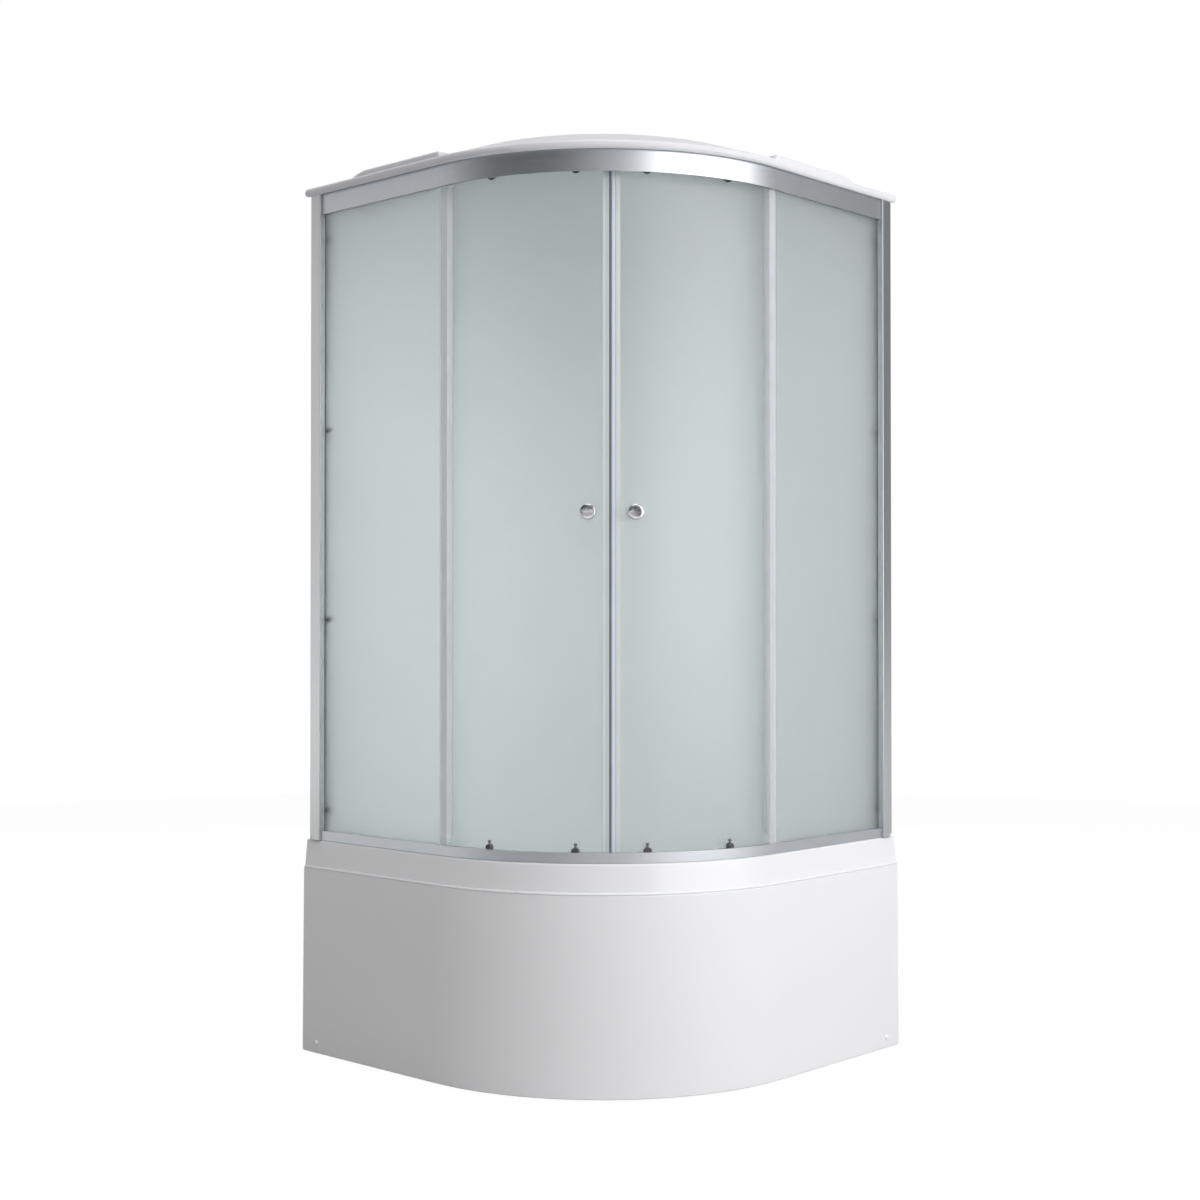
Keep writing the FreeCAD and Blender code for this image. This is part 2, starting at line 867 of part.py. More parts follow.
def make_apron_fixings():
    face = apron_reach_at(S.apron_screw_height)
    head_height = S.cap_height / 3
    dome = (S.cap_radius * S.cap_radius / S.cap_height + S.cap_height) / 2
    screw = loose_body("apron_screw")
    revolve(screw, "turned_screw", [
        (0, -S.apron_screw_length),
        (S.apron_screw_radius, -S.apron_screw_length),
        (S.apron_screw_radius, 0),
        (S.apron_screw_head, 0),
        (S.apron_screw_head, head_height),
        (0, head_height),
    ])
    cap = loose_body("apron_cap")
    inner = S.apron_screw_head + S.seat_gap
    revolve(cap, "moulded_cap", [
        (0, head_height + S.seat_gap),
        (inner, head_height + S.seat_gap),
        (inner, 0),
        (S.cap_radius, 0),
        (0, S.cap_height, (dome, 1)),
    ])
    places = []
    brackets = []
    for name, hand in HANDS.items():
        x, y = beside(face + S.seat_gap, apron_screw_along, hand)
        places.append((x, y, S.apron_screw_height, facing_out(side_angle(hand))))
        brackets.append(make_apron_bracket(name, hand, face))
    group("apron_screws", copies(screw, places))
    group("apron_screw_caps", copies(cap, places))
    group("apron_brackets", brackets)


def make_apron_bracket(name, hand, face):
    """Steel strip from the end of a frame tube down to the apron's screw."""
    body = new_body(f"{name}_apron_bracket", side_angle(hand))
    sheet = S.bracket_sheet
    tube_end = S.bend_radius - S.frame_front_inset + S.tube_side / 2
    strip = S.bend_radius - S.bracket_gap
    low = S.apron_screw_height - S.bracket_foot
    centre = apron_screw_along + S.bracket_width / 3
    sketch_low = -centre - S.bracket_width / 2 if hand > 0 else centre - S.bracket_width / 2
    pad(body, f"{name}_bent_strip", [[
        (tube_end, S.tube_low + S.tube_side),
        (tube_end, S.tube_low),
        (strip - sheet, S.tube_low),
        (strip - sheet, low),
        (strip, low),
        (strip, S.tube_low + sheet),
        (tube_end + sheet, S.tube_low + sheet),
        (tube_end + sheet, S.tube_low + S.tube_side),
    ]], sketch_low, S.bracket_width, "XZ_Plane")
    along = hand * apron_screw_along
    boss = face - S.apron_wall - S.seat_gap - strip
    pad(body, f"{name}_boss", [(along, S.apron_screw_height, S.bracket_boss_radius)],
        strip, boss, "YZ_Plane")
    bore(body, f"{name}_bracket_hole", strip - S.bracket_width, along, S.apron_screw_height,
         facing_out(0), S.apron_screw_radius + S.screw_fit, S.bracket_width * 2)
    return body


# Frame: welded square tube with uprights under the rim, on five feet
def frame_points():
    """Feet of the frame in the bend's frame: back, left, right, front and middle."""
    back = wall_reach - S.frame_back_inset
    front = S.bend_radius - S.frame_front_inset
    bend = front * cosine(S.front_angle)
    middle = (front - back) / 2
    return {
        "back": (-back, back),
        "left": (-back, -front),
        "right": (front, back),
        "front": (bend, -bend),
        "middle": (middle, -middle),
    }


def tube(name, x, y, z, angle, length, thin):
    """Square bar along its own X from its start point, or its bore where thin is the wall."""
    bar = doc.addObject("Part::Box", name)
    side = S.tube_side - thin * 2
    bind(bar, "Length", length - thin * 2)
    bind(bar, "Width", side)
    bind(bar, "Height", side)
    shift_x = thin * cosine(angle) + side / 2 * sine(angle)
    shift_y = thin * sine(angle) - side / 2 * cosine(angle)
    place(bar, axis_x + x + shift_x, axis_y + y + shift_y, z + thin, turned(angle))
    return bar


def upright(name, x, y, low, high, thin):
    bar = doc.addObject("Part::Box", name)
    side = S.tube_side - thin * 2
    bind(bar, "Length", side)
    bind(bar, "Width", side)
    bind(bar, "Height", high - low)
    place(bar, axis_x + x - side / 2, axis_y + y - side / 2, low, turned(0))
    return bar


def make_frame():
    points = frame_points()
    half = S.tube_side / 2
    wall = S.tube_wall
    quarter = S.quarter_turn
    back_x, back_y = points["back"]
    run = points["right"][0] - back_x + S.tube_side
    diagonal = run * math.sqrt(2) - S.tube_side * math.sqrt(2)
    brace = (points["front"][0] - points["middle"][0]) * math.sqrt(2)
    left_x, left_y = points["left"]
    bars = [
        ("rear_bar", back_x - half, back_y, quarter * 0, run),
        ("left_bar", back_x, left_y - half, quarter, run),
        ("cross_bar", left_x, left_y, quarter / 2, diagonal),
        ("brace_bar", *points["middle"], -quarter / 2, brace),
    ]
    nothing = wall * 0
    solids = [tube(name, x, y, S.tube_low, angle, length, nothing)
              for name, x, y, angle, length in bars]
    bores = [tube(f"{name}_bore", x, y, S.tube_low, angle, length, wall)
             for name, x, y, angle, length in bars]
    tube_top = S.tube_low + S.tube_side
    rim_under = rim_top - S.tray_sheet
    for name, (x, y) in points.items():
        high = S.basin_floor - S.tray_sheet if name == "middle" else rim_under
        solids.append(upright(f"{name}_upright", x, y, S.tube_low, high, nothing))
        bores.append(upright(f"{name}_upright_bore", x, y, tube_top - wall, high + S.overrun, wall))
        hole = doc.addObject("Part::Cylinder", f"{name}_rod_hole")
        bind(hole, "Radius", S.rod_radius + S.running_fit)
        bind(hole, "Height", S.tube_side + S.overrun)
        place(hole, axis_x + x, axis_y + y, S.tube_low - S.overrun / 2, turned(0))
        bores.append(hole)
    keep(subtract("tray_frame", fuse("welded_bars", solids), fuse("bar_bores", bores)))


def make_feet():
    nut = loose_body("foot_nut")
    corners = []
    for index in range(6):
        angle = S.quarter_turn * 2 / 3 * index
        corners.append((S.nut_radius * cosine(angle), S.nut_radius * sine(angle)))
    pad(nut, "hexagon", [corners, (0, 0, S.rod_radius + S.running_fit)], 0, S.nut_height)
    places = []
    for name, (x, y) in frame_points().items():
        foot = loose_body(f"foot_{name}")
        neck_top = S.foot_pad_height + S.foot_neck_height
        revolve(foot, f"{name}_turned_foot", [
            (0, 0),
            (S.foot_pad_radius, 0),
            (S.foot_pad_radius, S.foot_pad_height / 2),
            (S.foot_neck_radius, S.foot_pad_height),
            (S.foot_neck_radius, neck_top),
            (S.rod_radius, neck_top),
            (S.rod_radius, S.rod_top),
            (0, S.rod_top),
        ])
        place(foot, axis_x + x, axis_y + y, 0, turned(0))
        keep(foot)
        places.append((axis_x + x, axis_y + y, S.tube_low - S.nut_height, turned(0)))
    group("foot_lock_nuts", copies(nut, places))


# Drain: flange through the floor, gasket, trap with its outlet, and the cover
def make_drain():
    x, y = axis_x - drain_place, axis_y + drain_place
    neck = S.drain_bore + S.drain_neck_wall
    floor_low = S.basin_floor - S.tray_sheet
    neck_low = floor_low - S.drain_neck_low
    flange = loose_body("drain_flange")
    revolve(flange, "turned_flange", [
        (S.drain_bore, neck_low),
        (neck, neck_low),
        (neck, S.basin_floor),
        (S.drain_flange_radius, S.basin_floor),
        (S.drain_flange_radius - S.drain_flange_height, S.basin_floor + S.drain_flange_height),
        (S.drain_bore, S.basin_floor + S.drain_flange_height),
    ])
    gasket = loose_body("drain_gasket")
    bore_radius = neck + S.screw_fit
    gasket_low = floor_low - S.gasket_height
    revolve(gasket, "gasket_ring", ring(bore_radius, S.drain_flange_radius, gasket_low, floor_low))
    trap = loose_body("drain_trap")
    trap_low = gasket_low - S.trap_height
    outer = S.drain_flange_radius
    inner = outer - S.trap_wall
    roof_low = gasket_low - S.trap_wall
    revolve(trap, "trap_bowl", [
        (0, trap_low),
        (inner, trap_low),
        (outer, trap_low + S.trap_wall, (S.trap_wall, 1)),
        (outer, gasket_low),
        (bore_radius, gasket_low),
        (bore_radius, roof_low),
        (inner, roof_low),
        (inner, trap_low + S.trap_wall),
        (0, trap_low + S.trap_wall),
    ])
    outlet_height = gasket_low - S.outlet_drop
    start = inner + S.trap_wall / 2
    shoulder = outer + S.collar_length
    pad(trap, "outlet_collar", [(0, outlet_height, S.collar_radius)], -shoulder, shoulder - start, "XZ_Plane")
    pad(trap, "outlet", [(0, outlet_height, S.outlet_radius)], -shoulder - S.outlet_length,
        S.outlet_length, "XZ_Plane")
    bore(trap, "outlet_bore", 0, 0, outlet_height, facing_along(0, 1),
         S.outlet_radius - S.outlet_wall, shoulder + S.outlet_length + S.overrun)
    cover = loose_body("drain_cover")
    seat = S.basin_floor + S.drain_flange_height
    skirt = S.drain_bore - S.screw_fit
    dome = S.cover_radius * S.cover_radius / S.cover_height / 2 + S.cover_height / 2
    revolve(cover, "domed_cover", [
        (0, seat),
        (skirt - S.cover_wall, seat),
        (skirt - S.cover_wall, seat - S.cover_skirt),
        (skirt, seat - S.cover_skirt),
        (skirt, seat),
        (S.cover_radius, seat),
        (0, seat + S.cover_height, (dome, 1)),
    ])
    for body in (flange, gasket, trap, cover):
        place(body, x, y, 0, turned(0))
        keep(body)


# Rails: the wheels run on the top rail's ledge and under the bottom rail's guide lip
def track_wing(inner):
    """Part of a track that follows the doors' circle a little way past the bend."""
    rib = rib_outer - S.rail_wall / 2
    run = inner * sine(S.track_turn)
    return [
        (inner, 0),
        (inner * cosine(S.track_turn), run, (inner, 1)),
        (rib, run),
        (rib, 0),
    ]


def add_wings(body, name, inner, low):
    """Both track wings, on the left and right straight sides."""
    for side, hand in HANDS.items():
        pad(body, f"{side}_{name}", [across(track_wing(inner), hand)], low, S.rail_wall)


def make_rails():
    wall = S.rail_wall
    end = post_start
    top = new_body("top_rail")
    pad(top, "top_web", [band(rail_face, groove_outer, end)], top_rail_low, S.top_rail_height)
    pad(top, "top_cover", [band(rail_face, rail_inner, end)], frame_top - wall, wall)
    pad(top, "top_ledge", [band(rail_face - wall / 2, track_inner, end)], ledge_top - wall, wall)
    pad(top, "top_rib", [band(rib_outer, rib_inner, end)], ledge_top - S.groove_lip, S.groove_lip)
    pad(top, "top_lip", [band(rail_inner + wall, rail_inner, end)], frame_top - S.rail_lip, S.rail_lip)
    add_wings(top, "ledge_wing", track_inner, ledge_top - wall)
    for index, (x, y) in enumerate(roof_screw_spots()):
        bore(top, f"roof_screw_hole_{index}", x - axis_x, y - axis_y, frame_top - wall - S.overrun,
             turned(0), S.roof_screw_radius + S.screw_fit, wall + S.overrun * 2)
    keep(top)
    bottom = new_body("bottom_rail")
    pad(bottom, "bottom_web", [band(rail_face, groove_outer, end)], rim_top, S.bottom_rail_height)
    pad(bottom, "bottom_floor", [band(rail_face, rail_inner, end)], rim_top, wall)
    pad(bottom, "bottom_rib", [band(rib_outer, rib_inner, end)], rim_top, S.guide_height)
    pad(bottom, "bottom_guide", [band(rib_outer, track_inner, end)], guide_low, wall)
    pad(bottom, "bottom_lip", [band(rail_inner + wall, rail_inner, end)], rim_top, S.rail_bottom_lip)
    add_wings(bottom, "guide_wing", track_inner, guide_low)
    keep(bottom)


def block_levels():
    """Heights of the rail end blocks: top rail, then bottom rail."""
    return {
        "top": (ledge_top, frame_top - S.rail_wall - S.rail_lip),
        "bottom": (rim_top + S.rail_wall, guide_low),
    }


def make_end_blocks():
    """Plastic blocks in the rails' ends that take the screws from the posts."""
    screw = loose_body("rail_screw")
    revolve(screw, "turned_rail_screw", [
        (0, -S.block_screw_length),
        (S.block_screw_radius, -S.block_screw_length),
        (S.block_screw_radius, 0),
        (S.block_screw_head, 0),
        (S.block_screw_head, S.block_screw_head_height),
        (0, S.block_screw_head_height),
    ])
    blocks = []
    places = []
    inner = post_back + S.post_wall
    outer = rib_inner
    reach = (inner + outer) / 2
    for name, hand in HANDS.items():
        angle = side_angle(hand)
        for level, (low, high) in block_levels().items():
            body = new_body(f"{name}_{level}_block", angle)
            shape = mirrored(block(inner, outer, post_start - S.block_length, post_start), hand)
            pad(body, f"{name}_{level}_moulding", [shape], low, high - low)
            height = (low + high) / 2
            bore(body, f"{name}_{level}_block_hole", reach, hand * (post_start + S.overrun), height,
                 facing_along(0, -hand), S.block_screw_radius + S.running_fit,
                 S.block_length + S.overrun * 2)
            blocks.append(body)
            x, y = beside(reach, post_start + S.post_wall, hand)
            places.append((x, y, height, facing_along(angle, hand)))
    group("rail_end_blocks", blocks)
    group("rail_screws", copies(screw, places))


# Posts: three-chamber extrusions with a glass groove and a fin that takes the wall panel
def make_post(name, hand):
    body = new_body(f"{name}_post", side_angle(hand))
    wall = S.post_wall
    lip = fixed_outer + S.glazing_gap
    cheek = fixed_inner - S.glazing_gap
    groove_end = post_start + S.post_groove_depth
    fin_outer = panel_face
    edge = S.post_edge
    arc = (edge, 1)
    pad(body, f"{name}_section", [mirrored([
        (post_back, post_start),
        (cheek, post_start),
        (cheek, groove_end),
        (lip, groove_end),
        (lip, post_start),
        (post_face - edge, post_start),
        (post_face, post_start + edge, arc),
        (post_face, post_end - edge),
        (post_face - edge, post_end, arc),
        (post_back, post_end),
        (post_back, fin_outer),
        (post_back - S.fin_length, fin_outer),
        (post_back - S.fin_length, fin_outer - wall),
        (post_back, fin_outer - wall),
    ], hand)], rim_top, S.frame_height)
    far = post_end - wall
    chambers = [
        block(post_back + wall, cheek - wall, post_start + wall, far),
        block(lip + wall, post_face - wall, post_start + wall, far),
        block(cheek, lip, groove_end + wall, far),
    ]
    pocket(body, f"{name}_chambers", [mirrored(shape, hand) for shape in chambers],
           rim_top - S.overrun, S.frame_height + S.overrun * 2)
    notch = block(post_back - S.overrun, post_face + S.overrun, post_end - S.notch_width,
                  post_end + S.overrun)
    pocket(body, f"{name}_notch", [mirrored(notch, hand)], rim_top - S.overrun,
           S.notch_height + S.overrun)
    reach = post_back - S.fin_length / 2
    for index, height in enumerate(wall_screw_heights()):
        bore(body, f"{name}_fin_hole_{index}", reach, hand * (fin_outer - wall - S.overrun), height,
             facing_along(0, hand), S.wall_screw_radius + S.screw_fit, wall + S.overrun * 2)
    inner = (post_back + S.post_wall + rib_inner) / 2
    for level, (low, high) in block_levels().items():
        bore(body, f"{name}_{level}_rail_hole", inner, hand * (post_start - S.overrun), (low + high) / 2,
             facing_along(0, hand), S.block_screw_radius + S.screw_fit, S.post_wall + S.overrun * 2)
    return keep(body)


def wall_screw_heights():
    """Four screws up each post, evenly spaced."""
    first = rim_top + S.wall_screw_end
    step = (S.frame_height - S.wall_screw_end * 2) / 3
    return [first + step * index for index in range(4)]


def make_fixed_side(name, hand):
    """Fixed pane with its gaskets and the seal on its free edge."""
    angle = side_angle(hand)
    glass_end = post_start + S.post_groove_depth - S.fixed_glass_seat
    glass_low = rim_top + S.rail_wall + S.fixed_glass_seat
    glass_high = top_rail_low + S.fixed_glass_hold
    pane = new_body(f"{name}_fixed_glass", angle)
    pad(pane, f"{name}_pane", [mirrored(block(fixed_inner, fixed_outer, S.fixed_edge_along, glass_end),
                                        hand)], glass_low, glass_high - glass_low)
    keep(pane)

    gap = S.glazing_gap
    groove_end = post_start + S.post_groove_depth
    strip = new_body(f"{name}_post_gasket", angle)
    low = bottom_rail_top + S.seat_gap
    pad(strip, f"{name}_post_strip", [mirrored([
        (fixed_inner - gap, post_start),
        (fixed_inner, post_start),
        (fixed_inner, glass_end),
        (fixed_outer, glass_end),
        (fixed_outer, post_start),
        (fixed_outer + gap, post_start),
        (fixed_outer + gap, groove_end),
        (fixed_inner - gap, groove_end),
    ], hand)], low, top_rail_low - S.seat_gap - low)
    seal_end = S.fixed_edge_along + S.fixed_seal_length + S.fixed_edge_along
    run = post_start - seal_end
    floor = rim_top + S.rail_wall
    start = -post_start if hand > 0 else seal_end
    foot = new_body(f"{name}_foot_gasket", angle)
    foot_high = floor + S.groove_lip
    pad(foot, f"{name}_foot_strip", [[
        (rib_outer, floor),
        (groove_outer, floor),
        (groove_outer, foot_high),
        (fixed_outer, foot_high),
        (fixed_outer, glass_low),
        (fixed_inner, glass_low),
        (fixed_inner, foot_high),
        (rib_outer, foot_high),
    ]], start, run, "XZ_Plane")
    head = new_body(f"{name}_head_gasket", angle)
    head_high = ledge_top - S.rail_wall
    head_low = head_high - S.groove_lip
    pad(head, f"{name}_head_strip", [[
        (rib_outer, head_low),
        (fixed_inner, head_low),
        (fixed_inner, glass_high),
        (fixed_outer, glass_high),
        (fixed_outer, head_low),
        (groove_outer, head_low),
        (groove_outer, head_high),
        (rib_outer, head_high),
    ]], start, run, "XZ_Plane")
    group(f"{name}_glazing_gaskets", [strip, foot, head])
    make_fixed_seal(name, hand, angle)


def make_fixed_seal(name, hand, angle):
    """Clear profile on the fixed pane's free edge, with a fin towards the door."""
    body = new_body(f"{name}_fixed_seal", angle)
    wall = S.seal_wall
    gap = S.seat_gap
    nose = S.fixed_edge_along - S.fixed_seal_nose
    tail = nose + S.fixed_seal_length
    inner = fixed_inner - wall
    outer = fixed_outer + wall
    low = bottom_rail_top + gap
    high = top_rail_low - gap
    pad(body, f"{name}_edge_profile", [mirrored([
        (inner, nose),
        (outer, nose),
        (outer, tail),
        (fixed_outer, tail),
        (fixed_outer, S.fixed_edge_along),
        (fixed_inner, S.fixed_edge_along),
        (fixed_inner, tail),
        (inner, tail),
    ], hand)], low, high - low)
    fin = block(inner - S.fixed_fin, inner + wall / 2, nose, nose + S.fin_wall)
    pad(body, f"{name}_fin", [mirrored(fin, hand)], fin_low, fin_high - fin_low)
    return keep(body)


# Back walls, corner profile and their screws
def make_back_walls():
    long_end = panel_face + S.panel - S.corner_core
    spots = []
    for name, hand in (("left_wall_panel", -1), ("rear_wall_panel", 1)):
        body = new_body(name, side_angle(hand))
        shape = block(-long_end, post_back, panel_face, panel_face + S.panel)
        pad(body, f"{name}_sheet", [mirrored(shape, hand)], rim_top, S.frame_height)
        reach = post_back - S.fin_length / 2
        leg = -long_end + S.corner_leg / 2
        for index, height in enumerate(wall_screw_heights()):
            for place_name, hole_reach, sheet in (("fin", reach, S.post_wall),
                                                  ("leg", leg, S.corner_sheet)):
                bore(body, f"{name}_{place_name}_{index}", hole_reach,
                     hand * (panel_face - S.overrun), height, facing_along(0, hand),
                     S.wall_screw_radius + S.screw_fit, S.panel + S.overrun * 2)
                x, y = beside(hole_reach, panel_face - sheet, hand)
                spots.append((x, y, height, facing_along(side_angle(hand), -hand)))
        keep(body)
    outer = panel_face + S.panel
    core = outer - S.corner_core
    leg_end = core - S.corner_leg
    sheet = panel_face - S.corner_sheet
    corner = new_body("corner_profile")
    pad(corner, "corner_section", [[
        (-outer, outer),
        (-outer, core),
        (-panel_face, core),
        (-panel_face, leg_end),
        (-sheet, leg_end),
        (-sheet, core),
        (-core, core),
        (-core, sheet),
        (-leg_end, sheet),
        (-leg_end, panel_face),
        (-core, panel_face),
        (-core, outer),
    ]], rim_top, S.frame_height)
    leg = leg_end + S.corner_leg / 2
    for index, height in enumerate(wall_screw_heights()):
        bore(corner, f"rear_leg_hole_{index}", -leg, sheet - S.overrun, height, facing_along(0, 1),
             S.wall_screw_radius + S.screw_fit, S.corner_sheet + S.overrun * 2)
        bore(corner, f"left_leg_hole_{index}", -sheet + S.overrun, leg, height,
             facing_out(S.quarter_turn * 2), S.wall_screw_radius + S.screw_fit,
             S.corner_sheet + S.overrun * 2)
    keep(corner)
    screw = loose_body("wall_screw")
    revolve(screw, "turned_wall_screw", [
        (0, -S.wall_screw_length),
        (S.wall_screw_radius, -S.wall_screw_length),
        (S.wall_screw_radius, 0),
        (S.wall_screw_head, 0),
        (S.wall_screw_head - S.wall_screw_head_height / 2, S.wall_screw_head_height),
        (0, S.wall_screw_head_height),
    ])
    group("wall_screws", copies(screw, spots))


# Roof: one formed shell with a rounded rim, a sloping crown and a raised bar on each side
def make_roof():
    body = new_body("roof")
    reach = S.bend_radius - S.roof_inset
    back = wall_reach - S.roof_back_gap
    sheet = S.roof_sheet
    rim_high = frame_top + S.roof_rim
    rim_low = frame_top - S.roof_lip
    pad(body, "roof_rim", [plan(reach, back, S.roof_corner)], rim_low, S.roof_rim + S.roof_lip)
    level_low = level_edge(rim_low)
    level_high = level_edge(rim_high)
    round_edges(body, "roof_bead", S.roof_bead, lambda edge: level_low(edge) or level_high(edge))
    foot = reach - S.roof_shoulder
    back_foot = back - S.roof_shoulder
    run = S.roof_slope_run
    loft(body, "AdditiveLoft", "crown", plan(foot, back_foot, S.roof_crown_corner),
         rim_high - S.overrun, plan(foot - run, back_foot - run, S.roof_crown_corner),
         rim_high + S.roof_rise)
    bar_outer = reach - S.bar_inset
    bar_inner = bar_outer - S.bar_width
    bar_low = rim_high - S.overrun
    bar_top = rim_high + S.bar_rise
    bar_end = wall_reach - S.bar_end_inset
    drop = bar_top - bar_low
    tail_bend = (S.bar_tail_run * S.bar_tail_run / drop + drop) / 2
    profile = [
        (S.bar_start, bar_low),
        (bar_end, bar_low),
        (bar_end - S.bar_tail_run, bar_top, (tail_bend, 1)),
        (S.bar_start + S.bar_nose, bar_top),
        (S.bar_start, bar_top - S.bar_nose, (S.bar_nose, 1)),
    ]
    pad(body, "right_bar", [profile], bar_inner, S.bar_width, "YZ_Plane")
    flipped = [(negative(x), z, *[(bend[0], -bend[1]) for bend in arc]) for x, z, *arc in profile]
    pad(body, "left_bar", [flipped], bar_inner, S.bar_width, "XZ_Plane")
    bar_face = number(bar_outer)
    crest = number(rim_high + S.bar_edge)

    def bar_long_edge(item):
        box = item.BoundBox
        on_face = abs(box.XMin - bar_face) < number(S.match) or abs(box.YMax + bar_face) < number(S.match)
        return on_face and box.ZMax > crest and box.ZMin > number(rim_high)

    round_edges(body, "bar_edges", S.bar_edge, bar_long_edge)
    seat = reach - S.roof_seat
    back_seat = back - S.roof_seat
    rest = post_face + S.side_gap
    far = wall_reach + S.overrun
    pocket(body, "roof_rest", [[(0, -rest), (rest, 0, (rest, 1)), (rest, far), (-far, far), (-far, -rest)]],
           rim_low - S.overrun, S.roof_lip + S.overrun)
    pocket(body, "roof_well", [plan(seat, back_seat, S.roof_corner)], frame_top - S.overrun,
           S.roof_rim - sheet + S.overrun)
    hollow_foot = foot - sheet * 3
    back_hollow = back_foot - sheet * 3
    loft(body, "SubtractiveLoft", "crown_hollow",
         plan(hollow_foot, back_hollow, S.roof_crown_corner), rim_high - sheet - S.overrun,
         plan(hollow_foot - run, back_hollow - run, S.roof_crown_corner),
         rim_high + S.roof_rise - sheet)
    for index, (x, y) in enumerate(roof_screw_spots()):
        bore(body, f"screw_socket_{index}", x - axis_x, y - axis_y, frame_top - S.overrun, turned(0),
             S.roof_screw_radius + S.running_fit, S.roof_screw_length + S.overrun)
    return keep(body)


def roof_screw_spots():
    """Screws from the top rail's cover up into the roof's rim."""
    reach = rail_face - S.roof_screw_reach
    spots = []
    for hand in HANDS.values():
        spots.append(polar(reach, S.front_angle + hand * S.roof_screw_angle))
        spots.append(beside(reach, wall_reach - S.roof_screw_inset, hand))
    return spots


def make_roof_screws():
    screw = loose_body("roof_screw")
    shank = S.roof_screw_length
    revolve(screw, "turned_roof_screw", [
        (0, -S.roof_screw_head_height),
        (S.roof_screw_head, -S.roof_screw_head_height),
        (S.roof_screw_head, 0),
        (S.roof_screw_radius, 0),
        (S.roof_screw_radius, shank),
        (0, shank),
    ])
    height = frame_top - S.rail_wall
    group("roof_screws", copies(screw, [(x, y, height, turned(0)) for x, y in roof_screw_spots()]))


# Doors: curved panes that run round the bend's axis
def roller_angle(hand, angle):
    return S.front_angle + hand * angle


def make_door_glass(name, hand):
    lead, tail = S.door_lead_angle, door_tail_angle
    start = S.front_angle + (lead if hand > 0 else -tail)
    body = new_body(f"{name}_door_glass", start)
    revolve(body, f"{name}_curved_pane", ring(door_inner, door_outer, door_bottom, door_top), tail - lead)
    holes = [("knob", S.knob_angle, S.knob_height, S.knob_bolt_radius)]
    for spot, angle in ROLLERS.items():
        holes.append((f"{spot}_top", angle, carriage_screw_height, S.carriage_screw_radius))
        for ear in (-1, 1):
            offset = ear * S.ear_screw_along / door_outer * (2 * S.quarter_turn / math.pi)
            ear_name = "a" if ear < 0 else "b"
            holes.append((f"{spot}_ear_{ear_name}", angle + offset, rim_top + S.ear_screw_height,
                          S.ear_screw_radius))
    for hole_name, angle, height, radius in holes:
        turn = roller_angle(hand, angle) - start
        reach = door_inner - S.overrun
        bore(body, f"{name}_{hole_name}_hole", reach * cosine(turn), reach * sine(turn), height,
             facing_out(turn), radius + S.screw_fit, S.glass + S.overrun * 2)
    return keep(body)


def make_door_seals(name, hand):
    """Magnetic strip on the meeting edge and a finned strip on the trailing edge."""
    wall = S.seal_wall
    gap = S.seat_gap
    inner = door_inner - gap - wall
    outer = door_outer + gap + wall
    low = door_bottom + S.rail_bottom_lip
    high = door_top - S.seal_hold
    nose = S.seal_meeting_gap - door_outer * sine(S.door_lead_angle)
    magnet = new_body(f"{name}_magnet_seal", roller_angle(hand, S.door_lead_angle))
    pad(magnet, f"{name}_magnet_strip", [mirrored([
        (inner, nose),
        (outer, nose),
        (outer, S.seal_hold),
        (door_outer + gap, S.seal_hold),
        (door_outer + gap, -gap),
        (door_inner - gap, -gap),
        (door_inner - gap, S.seal_hold),
        (inner, S.seal_hold),
    ], hand)], low, high - low)
    keep(magnet)
    half = S.tail_seal_length / 2 - wall
    middle = door_tail_angle - half / door_outer * (2 * S.quarter_turn / math.pi)
    tail = new_body(f"{name}_tail_seal", roller_angle(hand, middle))
    end = half + gap
    pad(tail, f"{name}_tail_strip", [mirrored([
        (inner, end + wall),
        (inner, -half),
        (door_inner - gap, -half),
        (door_inner - gap, end),
        (door_outer + gap, end),
        (door_outer + gap, -half),
        (outer + S.tail_fin, -half),
        (outer + S.tail_fin, S.fin_wall - half),
        (outer, S.fin_wall - half),
        (outer, end + wall),
    ], hand)], fin_low, fin_high - fin_low)
    keep(tail)


def make_knob(name, hand):
    """Round chrome knob outside, a smaller one inside, on one bolt through the glass."""
    body = loose_body(f"{name}_knob")
    gap = S.seat_gap
    chamfer = S.knob_chamfer
    inside = -S.glass - gap
    revolve(body, f"{name}_turned_knob", [
        (0, inside - S.inner_knob_face),
        (S.inner_knob_radius - chamfer, inside - S.inner_knob_face),
        (S.inner_knob_radius, inside - S.inner_knob_face + chamfer),
        (S.inner_knob_radius, inside - S.knob_neck),
        (S.knob_neck_radius, inside - S.knob_neck + chamfer),
        (S.knob_neck_radius, inside),
        (S.knob_bolt_radius, inside),
        (S.knob_bolt_radius, gap),
        (S.knob_neck_radius, gap),
        (S.knob_neck_radius, S.knob_neck - chamfer),
        (S.knob_radius, S.knob_neck),
        (S.knob_radius, S.knob_face - chamfer),
        (S.knob_radius - chamfer, S.knob_face),
        (0, S.knob_face),
    ])
    angle = roller_angle(hand, S.knob_angle)
    place(body, *polar(door_outer, angle), S.knob_height, facing_out(angle))
    return keep(body)


